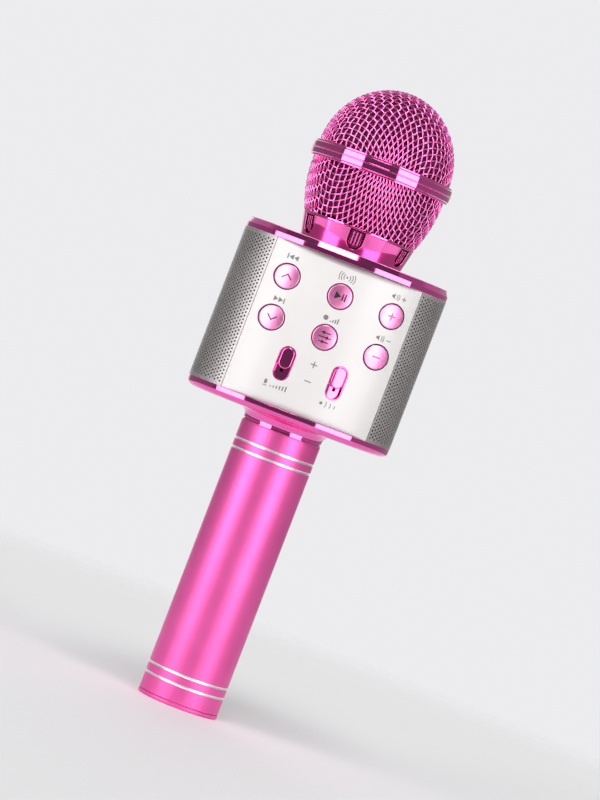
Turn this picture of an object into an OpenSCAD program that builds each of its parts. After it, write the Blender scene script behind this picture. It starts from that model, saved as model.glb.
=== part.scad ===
// Karaoke microphone: a tube handle, a speaker box with a control panel, and a woven ball grille.
// +Z runs along the microphone towards the grille. The control panel faces -Y, and +X is on the
// right as seen from the front. The origin is the centre of the handle's end face.

/* [Handle] */
// Outer radius of the handle tube
handle_r = 15.9; // [15.5:0.1:16.5]
// Height at which the handle tube meets the collar
handle_top = 110.9; // [105:0.1:118]
// Wall thickness of the handle tube
handle_wall = 1.3; // [1.1:0.1:1.5]
// Width of each bright ring cut into the tube
ring_w = 1.0; // [0.6:0.1:1.4]
// Depth of each bright ring
ring_depth = 0.35; // [0.2:0.05:0.5]
// Height of the tail cap's flange
cap_flange_h = 1.6; // [1.4:0.1:2]
// Height of the tail cap's threaded plug
cap_plug_h = 5.8; // [5:0.1:6.4]

/* [Speaker box] */
// Width of the box
box_w = 82; // [80:1:84]
// Depth of the box
box_d = 59; // [58.5:0.5:60]
// Power of the box outline's curve, where 2 is an ellipse and larger is squarer
box_power = 2.1; // [2.1:0.05:2.3]
// Height of the collar between handle and box
collar_h = 4.8; // [4.5:0.1:5.5]
// Height of the lower bevelled edge
lower_bevel_h = 2.2; // [1.8:0.1:2.6]
// Height of the lower rim's upright edge
lower_rim_h = 1.7; // [1.4:0.1:2.2]
// Height of the front panel and the speaker sheets
panel_h = 60; // [58:0.5:62]
// Height of the upper rim's upright edge
upper_rim_h = 2.4; // [2:0.1:2.8]
// Height of the upper bevelled edge
upper_bevel_h = 1.7; // [1.4:0.1:2.2]
// Half the width of the front and rear panels
panel_half_w = 29.1; // [28.8:0.1:29.3]
// Thickness of the front and rear panels
panel_t = 2.0; // [1.8:0.1:2.2]

/* [Controls] */
// Distance of the side button columns from the middle
button_x = 21; // [20.5:0.1:21.5]
// Radius of a button cap
button_r = 4.7; // [4.5:0.1:4.8]
// Gap round a button cap
button_gap = 0.35; // [0.25:0.05:0.4]
// Travel of a button
button_travel = 0.6; // [0.4:0.1:0.6]
// Distance of each slider from the middle
slider_x = 10.45; // [10:0.05:11]
// Travel of a slider
slider_travel = 4.2; // [3.6:0.1:4.2]
// Travel of the power switch
switch_travel = 3; // [2:0.5:3]

/* [Head] */
// Height of the neck
neck_h = 8.8; // [8.5:0.1:9.5]
// Outer radius at the bottom of the neck
neck_bottom_r = 20.45; // [20.2:0.05:20.8]
// Outer radius at the top of the neck
neck_top_r = 22.45; // [22.3:0.05:22.7]
// Number of clips round the neck
clip_count = 6; // [3:1:6]
// Turn of the neck's first clip from the front
clip_turn = -4.5; // [-10:0.5:10]
// Height of the lower grille with its thread ring's lip
lower_grille_h = 21.4; // [20:0.1:22]
// Largest radius of the grille
grille_r = 26.4; // [26:0.1:26.8]
// Height of the grille band
band_h = 6.4; // [6:0.1:7]
// Outer radius of the grille band's ridge
band_r = 28.6; // [28.2:0.1:29]
// Height of the dome above the band
dome_h = 28.6; // [27:0.05:30]
// Thickness of the grille shells
grille_t = 0.8; // [0.6:0.1:0.9]

/* [Hidden] */

$fn = 64;

// Colours
chrome_pink = "#e0399c";
satin_pink = "#d63a93";
wire_pink = "#f07cc0";
panel_white = "#f1ece8";
sheet_silver = "#b9b2ae";
plastic_black = "#26262a";
board_green = "#1d6b4a";
steel = "#c4c6ca";
foam_maroon = "#4a1030";

// Heights, from the bottom up
tube_bottom = cap_flange_h + 0.1;
box_bottom = handle_top + collar_h;
lower_rim_bottom = box_bottom + lower_bevel_h;
panel_bottom = lower_rim_bottom + lower_rim_h;
panel_top = panel_bottom + panel_h;
upper_rim_top = panel_top + upper_rim_h;
box_top = upper_rim_top + upper_bevel_h;
neck_top = box_top + neck_h;
band_bottom = neck_top + lower_grille_h;
band_top = band_bottom + band_h;
dome_top = band_top + dome_h;
panel_mid = (panel_bottom + panel_top) / 2;

// Heights of the controls
upper_row_z = panel_bottom + 47.2;
lower_row_z = panel_bottom + 30.9;
slider_z = panel_bottom + 16.5;

// Outline of the box
outline_steps = 72;
top_plate_t = 2.1;
floor_plate_t = 2.4;
rim_wall = 3.2;

// Handle
tube_bore_r = handle_r - handle_wall;
thread_r = 13.1;
thread_clearance = 0.06;
cap_plug_r = thread_r - thread_clearance;
cap_edge_r = 1.2;
cap_wall = 1.6;
cap_floor_z = 2.6;
ring_heights = [8.4, 12.3, handle_top - 11.1, handle_top - 7.5];
wire_bore_r = 12;
spigot_h = 12.9;
joint_gap = 0.05;

// Battery
cell_r = 9.2;
cell_bottom = 21;
cell_h = 65.2;
contact_z = cell_bottom + cell_h + 1.2;
contact_t = 0.8;
lead_r = 0.9;
lead_bend = 4;

// Boards
board_back = -16.3;
board_front = -17.7;
board_half_w = 25;
board_bottom = panel_bottom + 8.9;
board_top = panel_bottom + 51.9;
port_board_front = 12;
port_board_back = 13.4;
port_board_half_w = 15.2;

// Buttons
flange_r = 5.5;
flange_t = 0.6;
side_flange_back = -19.9;
middle_flange_back = -26.3;
stem_r = 1.3;
stem_end = -18.7;
cap_proud = 0.7;
tact_top = -19.2;
tact_floor = -18;
tact_w = 6;

// Sliders
well_w = 6.2;
well_h = 13.3;
well_back = -24.9;
well_floor = -26;
well_rim = 0.35;
knob_w = 5;
knob_h = 8.2;
knob_stem_w = 1.4;
knob_stem_h = 2.6;
knob_rest_z = slider_z + slider_travel / 2;
pot_front = -23.3;

// Screw posts
post_x = 24;
post_r = 2.6;
post_heights = [panel_bottom + 4.6, panel_top - 4.2];
post_end = 18;
post_bite = 1;
board_post_r = 2.2;
board_post_spots = [[18.5, panel_bottom + 13.4], [10.5, panel_bottom + 48.4]];
port_post_x = 12.5;
port_post_z = panel_bottom + 33.4;
screw_pilot_r = 0.9;
screw_r = 0.85;
screw_head_r = 1.8;

// Rear ports: x and height of each
usb_spot = [0, panel_bottom + 26.9];
card_spot = [0, panel_bottom + 19.2];
jack_spot = [-8, panel_bottom + 9.9];
charge_spot = [8, panel_bottom + 9.9];
light_spot = [0, panel_bottom + 38.4];
switch_spot = [0, panel_bottom + 46.4];
jack_bore_r = 1.8;
jack_mouth = 28.4;
jack_floor = 14.4;

// Speakers
baffle_back = 31.4;
baffle_front = 33;
baffle_bore_r = 12.5;
basket_r = 15.6;
basket_flange_back = 29.8;
speaker_screw_ring = 14.1;

// Head
clip_seat = 19.6;
clip_pocket_w = 6.2;
clip_w = 4.7;
neck_floor_z = box_top + 2.3;
neck_bore_r = 17.5;
lip_r = 22.6;
lip_top = neck_top + 0.8;
thread_ring_bore_r = 15.8;
post_plate_r = 15.4;
neck_screw_ring = 13.7;
cradle_z = neck_floor_z + 11;

// ---------- shared shapes ----------

function outline_point(turn, half_w, half_d) = [
  half_w * sign(cos(turn)) * pow(abs(cos(turn)), 2 / box_power),
  half_d * sign(sin(turn)) * pow(abs(sin(turn)), 2 / box_power)
];

// The box outline, drawn in by a distance all round
function box_outline(inset) = [
  for (i = [0:outline_steps - 1])
    outline_point(360 * i / outline_steps, box_w / 2 - inset, box_d / 2 - inset)
];

// Radius of the lower grille at a height, a bowl that widens to the band
function bowl_r(z) = grille_r * pow(1 - pow(max(0, band_bottom - 1.9 - z) / 39.6, 1.8), 1 / 1.8);

// Radius of the dome at a height above the band
function dome_r(h) = grille_r * sqrt(max(0, 1 - pow(h / dome_h, 2)));

// Dome points from the rim to the crown, closer together near the crown
function dome_points(inset, steps) = [
  for (i = [0:steps])
    let (h = dome_h * sin(90 * i / steps))
    [max(0, dome_r(h) * (grille_r - inset) / grille_r), band_top + h * (dome_h - inset) / dome_h]
];

function bowl_points(inset, z0, z1, steps) = [
  for (i = [0:steps])
    let (z = z0 + (z1 - z0) * i / steps)
    [bowl_r(z) - inset, z]
];

function arc_points(centre, r, from, to, steps) = [
  for (i = [0:steps])
    let (turn = from + (to - from) * i / steps)
    centre + r * [cos(turn), sin(turn)]
];

module box_slab(inset, z0, z1) {
  translate([0, 0, z0]) linear_extrude(z1 - z0) polygon(box_outline(inset));
}

module block(low, high) {
  translate(low) cube(high - low);
}

module rod_y(x, z, r, y0, y1) {
  translate([x, y0, z]) rotate([-90, 0, 0]) cylinder(r = r, h = y1 - y0);
}

module stadium_y(x, z, w, h, y0, y1) {
  reach = abs(h - w) / 2;
  r = min(w, h) / 2;
  tall = h > w ? 1 : 0;
  for (side = [-1, 1])
    rod_y(x + side * reach * (1 - tall), z + side * reach * tall, r, y0, y1);
  block([x - (tall == 1 ? r : reach), y0, z - (tall == 1 ? reach : r)],
        [x + (tall == 1 ? r : reach), y1, z + (tall == 1 ? reach : r)]);
}

module on_side(side) {
  if (side > 0) children();
  else mirror([1, 0, 0]) children();
}

// A turned shape whose axis lies along +X at the middle of the panel's height
module turned_x(points) {
  translate([0, 0, panel_mid]) rotate([0, 90, 0]) rotate_extrude() polygon(points);
}

module wall_shell(outer_inset, inner_inset, z0, z1) {
  difference() {
    box_slab(outer_inset, z0, z1);
    box_slab(inner_inset, z0 - 1, z1 + 1);
  }
}

// A lead that goes up or down the middle and bends forward to the main board
module bent_lead(r, start_z, board_z) {
  up = board_z > start_z ? 1 : -1;
  corner_z = board_z - up * lead_bend;
  translate([0, 0, min(start_z, corner_z)]) cylinder(r = r, h = abs(corner_z - start_z));
  translate([0, -lead_bend, corner_z]) rotate([up * 90, 0, 90])
    rotate_extrude(angle = 90) translate([lead_bend, 0]) circle(r = r);
  rod_y(0, board_z, r, board_back, -lead_bend);
}

// ---------- handle ----------

function ring_cut(z) = [
  [handle_r, z - ring_w / 2],
  [handle_r - ring_depth, z],
  [handle_r, z + ring_w / 2]
];

module handle_tube() {
  edge = 0.3;
  thread_top = tube_bottom + cap_plug_h + 0.4;
  color(satin_pink) rotate_extrude($fn = 96) polygon(concat(
    [[thread_r, tube_bottom], [handle_r - edge, tube_bottom], [handle_r, tube_bottom + edge]],
    [for (z = ring_heights, point = ring_cut(z)) point],
    [[handle_r, handle_top - edge], [handle_r - edge, handle_top], [tube_bore_r, handle_top],
     [tube_bore_r, thread_top + 1.5], [thread_r, thread_top]]
  ));
}

module tail_cap() {
  plug_top = cap_flange_h + cap_plug_h;
  thread_cut = 0.35;
  cut_heights = [for (i = [0:2]) cap_flange_h + 1.4 + 1.6 * i];
  spanner_hole_x = 8;
  color(satin_pink) difference() {
    rotate_extrude($fn = 96) polygon(concat(
      [[0, 0]],
      arc_points([handle_r - cap_edge_r, cap_edge_r], cap_edge_r, -90, 0, 6),
      [[handle_r, cap_flange_h], [cap_plug_r, cap_flange_h]],
      [for (z = cut_heights)
        each [[cap_plug_r, z - thread_cut], [cap_plug_r - thread_cut, z], [cap_plug_r, z + thread_cut]]],
      [[cap_plug_r, plug_top], [cap_plug_r - cap_wall, plug_top],
       [cap_plug_r - cap_wall, cap_floor_z], [0, cap_floor_z]]
    ));
    for (side = [-1, 1])
      translate([side * spanner_hole_x, 0, -1]) cylinder(r = 1.2, h = 2);
  }
}

// A tapered coil, swept as a closed tube with flat ends
module battery_spring() {
  turns = 5;
  rings = 75;
  sides = 8;
  wire_r = 0.45;
  low = cap_floor_z + 0.6;
  high = cell_bottom - 0.8;
  wide = 8.5;
  narrow = 5.5;
  points = [
    for (i = [0:rings], j = [0:sides - 1])
      let (s = i / rings, turn = 360 * turns * s, lean = 360 * j / sides,
           r = wide + (narrow - wide) * s + wire_r * cos(lean))
      [r * cos(turn), r * sin(turn), low + (high - low) * s + wire_r * sin(lean)]
  ];
  skin = [
    for (i = [0:rings - 1], j = [0:sides - 1])
      let (next = (j + 1) % sides, here = i * sides, above = (i + 1) * sides)
      each [[here + j, above + j, above + next], [here + j, above + next, here + next]]
  ];
  start_end = [[for (j = [0:sides - 1]) j], [for (j = [sides - 1:-1:0]) rings * sides + j]];
  color(steel) polyhedron(points, concat(skin, start_end));
}

module battery_cell() {
  nub_r = 2.8;
  nub_h = 0.8;
  edge = 0.4;
  color("#3b6fb5") rotate_extrude() polygon([
    [0, cell_bottom], [cell_r - edge, cell_bottom], [cell_r, cell_bottom + edge],
    [cell_r, cell_bottom + cell_h - edge], [cell_r - edge, cell_bottom + cell_h],
    [nub_r, cell_bottom + cell_h], [nub_r, cell_bottom + cell_h + nub_h], [0, cell_bottom + cell_h + nub_h]
  ]);
}

module battery_sleeve() {
  inner_r = cell_r + 0.3;
  outer_r = 11.3;
  rib_w = 1.6;
  low = cell_bottom + 1;
  roof_z = contact_z + contact_t;
  high = roof_z + 1.8;
  color(plastic_black) difference() {
    union() {
      translate([0, 0, low]) cylinder(r = outer_r, h = high - low);
      for (turn = [0, 120, 240]) rotate([0, 0, turn])
        block([-rib_w / 2, (inner_r + outer_r) / 2, low + 1], [rib_w / 2, tube_bore_r - 0.4, high - 1]);
    }
    translate([0, 0, low - 1]) cylinder(r = inner_r, h = roof_z - low + 1);
    translate([0, 0, roof_z - 1]) cylinder(r = lead_r + 0.3, h = 5);
  }
}

module battery_contact() {
  color("goldenrod") translate([0, 0, contact_z]) cylinder(r = 6.5, h = contact_t);
}

module battery_lead() {
  color("firebrick") bent_lead(lead_r, contact_z + contact_t, panel_bottom + 16.4);
}

// ---------- speaker box ----------

// The bevelled edge of a rim, from the full outline at one height to a drawn-in outline at another
module bevel(full_z, small_z, inset) {
  skin = 0.01;
  lift = small_z > full_z ? -1 : 0;
  hull() for (step = [0, 0.45, 0.8, 1])
    translate([0, 0, full_z + (small_z - full_z) * step + (step > 0 ? lift * skin : -(1 + lift) * skin)])
      linear_extrude(skin) polygon(box_outline(inset * (1 - sqrt(1 - step * step))));
}

module lower_shell() {
  flare = 3.5;
  bevel_inset = 3;
  step_z = handle_top + 0.5;
  color(chrome_pink) difference() {
    union() {
      bevel(lower_rim_bottom, box_bottom, bevel_inset);
      box_slab(0, lower_rim_bottom, panel_bottom);
      rotate_extrude($fn = 96) polygon(concat(
        [[0, handle_top - spigot_h], [tube_bore_r - joint_gap, handle_top - spigot_h],
         [tube_bore_r - joint_gap, handle_top], [handle_r, handle_top], [handle_r, step_z],
         [handle_r - 0.3, step_z + 0.1], [handle_r - 0.3, step_z + 0.4], [handle_r, step_z + 0.5]],
        arc_points([handle_r + flare, box_bottom - flare], flare, 180, 90, 8),
        [[handle_r + flare, box_bottom + 0.5], [0, box_bottom + 0.5]]
      ));
    }
    box_slab(rim_wall, box_bottom + floor_plate_t, panel_bottom + 1);
    translate([0, 0, handle_top - spigot_h - 1]) cylinder(r = wire_bore_r, h = spigot_h + collar_h + 6);
  }
}

module upper_shell() {
  bevel_inset = 2.2;
  color(chrome_pink) difference() {
    union() {
      box_slab(0, panel_top, upper_rim_top);
      bevel(upper_rim_top, box_top, bevel_inset);
    }
    box_slab(rim_wall, panel_top - 1, box_top - top_plate_t);
    translate([0, 0, panel_top - 1]) cylinder(r = wire_bore_r, h = 8);
    neck_screw_holes(screw_pilot_r);
  }
}

// One face of the box between the rims: side -1 is the front and 1 is the rear
module panel_wall(side) {
  reach = box_d;
  intersection() {
    wall_shell(0, panel_t, panel_bottom, panel_top);
    block([-panel_half_w, side < 0 ? -reach : 0, panel_bottom],
          [panel_half_w, side < 0 ? 0 : reach, panel_top]);
  }
}

module front_panel() {
  color(panel_white) difference() {
    union() {
      panel_wall(-1);
      intersection() {
        box_slab(post_bite, panel_bottom, panel_top);
        union() {
          for (side = [-1, 1], z = post_heights)
            rod_y(side * post_x, z, post_r, -box_d / 2, post_end);
          for (side = [-1, 1], spot = board_post_spots)
            rod_y(side * spot.x, spot.y, board_post_r, -box_d / 2, board_front);
        }
      }
    }
    for (x = [-button_x, 0, button_x], z = [lower_row_z, upper_row_z])
      rod_y(x, z, button_r + button_gap, -31, -20);
    for (side = [-1, 1])
      stadium_y(side * slider_x, slider_z, well_w + 2 * joint_gap, well_h + 2 * joint_gap, -31, -23);
    for (side = [-1, 1], z = post_heights)
      rod_y(side * post_x, z, 1.15, post_end - 9, post_end + 1);
    for (side = [-1, 1], spot = board_post_spots)
      rod_y(side * spot.x, spot.y, screw_pilot_r, -24, board_front + 1);
  }
}

module rear_panel() {
  boss_end = post_end + 0.1;
  head_seat = 20.5;
  color(panel_white) difference() {
    union() {
      panel_wall(1);
      intersection() {
        box_slab(post_bite, panel_bottom, panel_top);
        union() {
          for (side = [-1, 1], z = post_heights)
            rod_y(side * post_x, z, post_r + 0.4, boss_end, box_d / 2);
          for (side = [-1, 1])
            rod_y(side * port_post_x, port_post_z, 2, port_board_back, box_d / 2);
        }
      }
    }
    for (side = [-1, 1], z = post_heights) {
      rod_y(side * post_x, z, 1.4, boss_end - 1, head_seat + 1);
      rod_y(side * post_x, z, 2.4, head_seat, 31);
    }
    for (side = [-1, 1])
      rod_y(side * port_post_x, port_post_z, screw_pilot_r, port_board_back - 1, 20);
    block([usb_spot.x - 6.8, 24, usb_spot.y - 3.1], [usb_spot.x + 6.8, 31, usb_spot.y + 3.1]);
    block([card_spot.x - 6.4, 24, card_spot.y - 1.2], [card_spot.x + 6.4, 31, card_spot.y + 1.2]);
    rod_y(jack_spot.x, jack_spot.y, 3.1, 24, 31);
    stadium_y(charge_spot.x, charge_spot.y, 9.4, 3.7, 24, 31);
    rod_y(light_spot.x, light_spot.y, 1.1, 24, 31);
    block([switch_spot.x - 3.5, 24, switch_spot.y - 2.1], [switch_spot.x + 3.5, 31, switch_spot.y + 2.1]);
  }
}

module side_sheet(side, outer_inset, inner_inset, edge_x, margin) {
  on_side(side) intersection() {
    wall_shell(outer_inset, inner_inset, panel_bottom + margin, panel_top - margin);
    block([edge_x, -box_d, panel_bottom], [box_w, box_d, panel_top]);
  }
}

module speaker_mesh(side) {
  side_sheet(side, 0.15, 0.95, panel_half_w + 0.15, 0);
}

module left_speaker_mesh() {
  color(sheet_silver) speaker_mesh(-1);
}

module right_speaker_mesh() {
  color(sheet_silver) speaker_mesh(1);
}

module dust_cloth(side) {
  side_sheet(side, 1.05, 1.35, panel_half_w + 0.3, 0.2);
}

module left_dust_cloth() {
  color(plastic_black) dust_cloth(-1);
}

module right_dust_cloth() {
  color(plastic_black) dust_cloth(1);
}

// ---------- speakers ----------

// Places children at each screw of one speaker, with the child's own axis along +X
module at_speaker_screws() {
  for (turn = [45, 135, 225, 315])
    translate([0, speaker_screw_ring * cos(turn), panel_mid + speaker_screw_ring * sin(turn)])
      rotate([0, 90, 0]) children();
}

module baffle(side) {
  on_side(side) difference() {
    intersection() {
      box_slab(1.5, panel_bottom + 0.4, panel_top - 0.4);
      block([baffle_back, -box_d, panel_bottom], [baffle_front, box_d, panel_top]);
    }
    translate([baffle_back - 1, 0, panel_mid]) rotate([0, 90, 0]) cylinder(r = baffle_bore_r, h = 5);
    at_speaker_screws() translate([0, 0, baffle_back - 1]) cylinder(r = 0.8, h = 5, $fn = 24);
  }
}

module left_baffle() {
  color(plastic_black) baffle(-1);
}

module right_baffle() {
  color(plastic_black) baffle(1);
}

module speaker_basket(side) {
  on_side(side) difference() {
    turned_x([
      [3, 23.4], [9.6, 23.4], [12.7, basket_flange_back], [basket_r, basket_flange_back],
      [basket_r, baffle_back], [12.3, baffle_back], [12.3, 29.9], [9.1, 24.2], [3, 24.2]
    ]);
    at_speaker_screws() translate([0, 0, 29]) cylinder(r = 0.8, h = 5, $fn = 24);
  }
}

module left_speaker_basket() {
  color(steel) speaker_basket(-1);
}

module right_speaker_basket() {
  color(steel) speaker_basket(1);
}

module speaker_cone(side) {
  on_side(side) turned_x([
    [0, 26.9], [2.2, 26.6], [4.4, 26.1], [10.8, 30.1], [11.4, 30.5], [12.1, 30.4],
    [12.1, 30.8], [11.4, 30.9], [10.7, 30.5], [4.5, 26.9], [3.2, 27.5], [0, 27.9]
  ]);
}

module left_speaker_cone() {
  color(plastic_black) speaker_cone(-1);
}

module right_speaker_cone() {
  color(plastic_black) speaker_cone(1);
}

module speaker_magnet(side) {
  on_side(side) turned_x([[0, 17.4], [8.8, 17.4], [8.8, 23.4], [2.8, 23.4], [2.8, 25.4], [0, 25.4]]);
}

module left_speaker_magnet() {
  color(steel) speaker_magnet(-1);
}

module right_speaker_magnet() {
  color(steel) speaker_magnet(1);
}

// ---------- boards and controls ----------

module main_board() {
  color(board_green) difference() {
    block([-board_half_w, board_front, board_bottom], [board_half_w, board_back, board_top]);
    for (side = [-1, 1], spot = board_post_spots)
      rod_y(side * spot.x, spot.y, 1, board_front - 1, board_back + 1);
  }
}

module port_board() {
  color(board_green) difference() {
    block([-port_board_half_w, port_board_front, panel_bottom + 3.4],
          [port_board_half_w, port_board_back, panel_top - 5.6]);
    for (side = [-1, 1])
      rod_y(side * port_post_x, port_post_z, 1, port_board_front - 1, port_board_back + 1);
  }
}

module tact_switches() {
  half = tact_w / 2;
  color(plastic_black) for (x = [-button_x, 0, button_x], z = [lower_row_z, upper_row_z])
    difference() {
      block([x - half, tact_top, z - half], [x + half, board_front, z + half]);
      rod_y(x, z, stem_r + 0.2, tact_top - 1, tact_floor);
    }
}

// A cap whose face follows the panel, with a flange behind the panel and a stem to its switch
module button_cap(x, z) {
  flange_back = x == 0 ? middle_flange_back : side_flange_back;
  intersection() {
    rod_y(x, z, button_r, -31, flange_back);
    box_slab(-cap_proud, panel_bottom, panel_top);
  }
  rod_y(x, z, flange_r, flange_back - flange_t, flange_back);
  rod_y(x, z, stem_r, flange_back - flange_t / 2, stem_end);
}

module previous_button() {
  color(chrome_pink) button_cap(-button_x, upper_row_z);
}

module next_button() {
  color(chrome_pink) button_cap(-button_x, lower_row_z);
}

module play_button() {
  color(chrome_pink) button_cap(0, upper_row_z);
}

module mode_button() {
  color(chrome_pink) button_cap(0, lower_row_z);
}

module plus_button() {
  color(chrome_pink) button_cap(button_x, upper_row_z);
}

module minus_button() {
  color(chrome_pink) button_cap(button_x, lower_row_z);
}

module slider_well(x) {
  slot_half = knob_stem_h / 2 + slider_travel / 2 + 0.3;
  difference() {
    intersection() {
      stadium_y(x, slider_z, well_w, well_h, -31, well_back);
      box_slab(0, panel_bottom, panel_top);
    }
    stadium_y(x, slider_z, well_w - 2 * well_rim, well_h - 2 * well_rim, -31, well_floor);
    block([x - 0.9, well_floor - 1, slider_z - slot_half], [x + 0.9, well_back + 1, slider_z + slot_half]);
  }
}

module left_slider_well() {
  color(chrome_pink) slider_well(-slider_x);
}

module right_slider_well() {
  color(chrome_pink) slider_well(slider_x);
}

module slider_knob(x) {
  back = well_floor - 0.1;
  intersection() {
    stadium_y(x, knob_rest_z, knob_w, knob_h, -31, back);
    box_slab(-0.8, panel_bottom, panel_top);
  }
  block([x - knob_stem_w / 2, back - 0.5, knob_rest_z - knob_stem_h / 2],
        [x + knob_stem_w / 2, pot_front + 1.7, knob_rest_z + knob_stem_h / 2]);
}

module left_slider_knob() {
  color(chrome_pink) slider_knob(-slider_x);
}

module right_slider_knob() {
  color(chrome_pink) slider_knob(slider_x);
}

module slider_pot(x) {
  slot_half = knob_stem_h / 2 + slider_travel / 2 + 0.4;
  difference() {
    block([x - 3, pot_front, slider_z - 6.8], [x + 3, board_front, slider_z + 6.8]);
    block([x - 0.9, pot_front - 1, slider_z - slot_half], [x + 0.9, pot_front + 2.1, slider_z + slot_half]);
  }
}

module left_slider_pot() {
  color(steel) slider_pot(-slider_x);
}

module right_slider_pot() {
  color(steel) slider_pot(slider_x);
}

// ---------- rear ports ----------

module usb_socket() {
  half_w = 6.55;
  half_h = 2.85;
  wall = 0.4;
  mouth = 28.7;
  floor_y = port_board_back + 2;
  color(steel) translate([usb_spot.x, 0, usb_spot.y]) {
    difference() {
      block([-half_w, port_board_back, -half_h], [half_w, mouth, half_h]);
      block([-half_w + wall, floor_y, -half_h + wall], [half_w - wall, mouth + 1, half_h - wall]);
    }
    block([-5.5, floor_y - 1, 0], [5.5, mouth - 1.2, 1.9]);
  }
}

module audio_jack() {
  color(plastic_black) difference() {
    union() {
      block([jack_spot.x - 3.5, port_board_back, jack_spot.y - 3.2],
            [jack_spot.x + 3.5, 25, jack_spot.y + 3.2]);
      rod_y(jack_spot.x, jack_spot.y, 3, 24, jack_mouth);
    }
    rod_y(jack_spot.x, jack_spot.y, jack_bore_r, jack_floor, jack_mouth + 1);
  }
}

module charge_socket() {
  wall = 0.35;
  mouth = 28.1;
  floor_y = port_board_back + 2;
  color(steel) {
    difference() {
      stadium_y(charge_spot.x, charge_spot.y, 8.9, 3.2, port_board_back, mouth);
      stadium_y(charge_spot.x, charge_spot.y, 8.9 - 2 * wall, 3.2 - 2 * wall, floor_y, mouth + 1);
    }
    block([charge_spot.x - 3.3, floor_y - 1, charge_spot.y - 0.35],
          [charge_spot.x + 3.3, mouth - 1.4, charge_spot.y + 0.35]);
  }
}

module card_slot() {
  mouth = 28.7;
  color(steel) difference() {
    block([card_spot.x - 6.2, port_board_back, card_spot.y - 0.95], [card_spot.x + 6.2, mouth, card_spot.y + 0.95]);
    block([card_spot.x - 5.6, port_board_back + 2, card_spot.y - 0.5],
          [card_spot.x + 5.6, mouth + 1, card_spot.y + 0.5]);
  }
}

module power_switch_body() {
  top = 26.6;
  slot_floor = 24.4;
  slot_half = 1 + switch_travel / 2 + 0.25;
  color(steel) translate([switch_spot.x, 0, switch_spot.y]) difference() {
    block([-4.5, port_board_back, -2.7], [4.5, top, 2.7]);
    block([-slot_half, slot_floor, -1.2], [slot_half, top + 1, 1.2]);
  }
}

module power_switch_knob() {
  head_back = 27;
  head_front = 30.3;
  stem_back = 24.6;
  ridge_cuts = [-0.9, 0, 0.9];
  color(plastic_black) translate([switch_spot.x - switch_travel / 2, 0, switch_spot.y]) {
    difference() {
      block([-1.7, head_back, -1.8], [1.7, head_front, 1.8]);
      for (x = ridge_cuts) block([x - 0.2, head_front - 0.4, -2], [x + 0.2, head_front + 1, 2]);
    }
    block([-1, stem_back, -1], [1, head_back + 0.5, 1]);
  }
}

module indicator_light() {
  color("ghostwhite") rod_y(light_spot.x, light_spot.y, 1, port_board_back, 29.6);
}

// ---------- neck and head ----------

module neck_screw_holes(r) {
  for (turn = [30, 150, 270]) rotate([0, 0, turn])
    translate([neck_screw_ring, 0, box_top - 5]) cylinder(r = r, h = 12, $fn = 24);
}

// A U-shaped prism that stands out from the clip seat towards -Y
module clip_prism(w, bottom, top, seat) {
  r = w / 2;
  rod_y(0, bottom + r, r, -26, -seat);
  block([-r, -26, bottom + r], [r, -seat, top]);
}

module at_clips() {
  for (i = [0:clip_count - 1]) rotate([0, 0, clip_turn + 360 * i / clip_count]) children();
}

module neck_ring() {
  color(chrome_pink) difference() {
    rotate_extrude($fn = 96) polygon([
      [wire_bore_r, box_top], [neck_bottom_r, box_top], [neck_top_r, neck_top - 0.3],
      [neck_top_r - 0.2, neck_top], [neck_bore_r, neck_top], [neck_bore_r, neck_floor_z],
      [wire_bore_r, neck_floor_z]
    ]);
    at_clips() clip_prism(clip_pocket_w, box_top + 1.5, neck_top + 1, clip_seat);
    neck_screw_holes(1);
  }
}

module neck_cone(inset) {
  rotate_extrude($fn = 96) polygon([
    [0, box_top], [neck_bottom_r - inset, box_top], [neck_top_r - inset, neck_top], [0, neck_top]
  ]);
}

module neck_clips() {
  rib_w = 0.5;
  face_r = 20.2;
  color(chrome_pink) at_clips() intersection() {
    clip_prism(clip_w, box_top + 2.2, neck_top - 0.4, clip_seat + joint_gap);
    union() {
      translate([0, 0, box_top]) cylinder(h = neck_top - box_top, r = face_r);
      intersection() {
        neck_cone(0.2);
        for (x = [-1.3, 0, 1.3]) block([x - rib_w / 2, -26, box_top], [x + rib_w / 2, -18, neck_top]);
      }
    }
  }
}

module grille_thread_ring() {
  gap = 0.05;
  thread_ring_r = neck_bore_r - thread_clearance;
  color(chrome_pink) rotate_extrude($fn = 96) polygon([
    [thread_ring_bore_r, neck_floor_z + 0.3], [thread_ring_r, neck_floor_z + 0.3],
    [thread_ring_r, neck_top + gap], [lip_r - 0.3, neck_top + gap], [lip_r, neck_top + 0.3],
    [lip_r, lip_top], [thread_ring_bore_r, lip_top]
  ]);
}

module lower_grille() {
  steps = 12;
  color(wire_pink) rotate_extrude($fn = 96) polygon(concat(
    bowl_points(0, lip_top, band_bottom, steps),
    [for (i = [steps:-1:0]) bowl_points(grille_t, lip_top, band_bottom, steps)[i]]
  ));
}

module grille_band() {
  inner = grille_r - 1.2;
  mid = (band_bottom + band_top) / 2;
  lip = band_r - 0.9;
  shoulder = band_r - 0.35;
  color(chrome_pink) rotate_extrude($fn = 96) polygon([
    [inner, band_bottom], [lip - 0.2, band_bottom], [lip, band_bottom + 0.2], [lip, band_bottom + 0.6],
    [shoulder, band_bottom + 1], [band_r, mid], [shoulder, band_top - 1],
    [lip, band_top - 0.6], [lip, band_top - 0.2], [lip - 0.2, band_top], [inner, band_top]
  ]);
}

module upper_grille() {
  steps = 16;
  color(wire_pink) rotate_extrude($fn = 96) polygon(concat(
    dome_points(0, steps),
    [for (i = [steps:-1:0]) dome_points(grille_t, steps)[i]]
  ));
}

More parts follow.
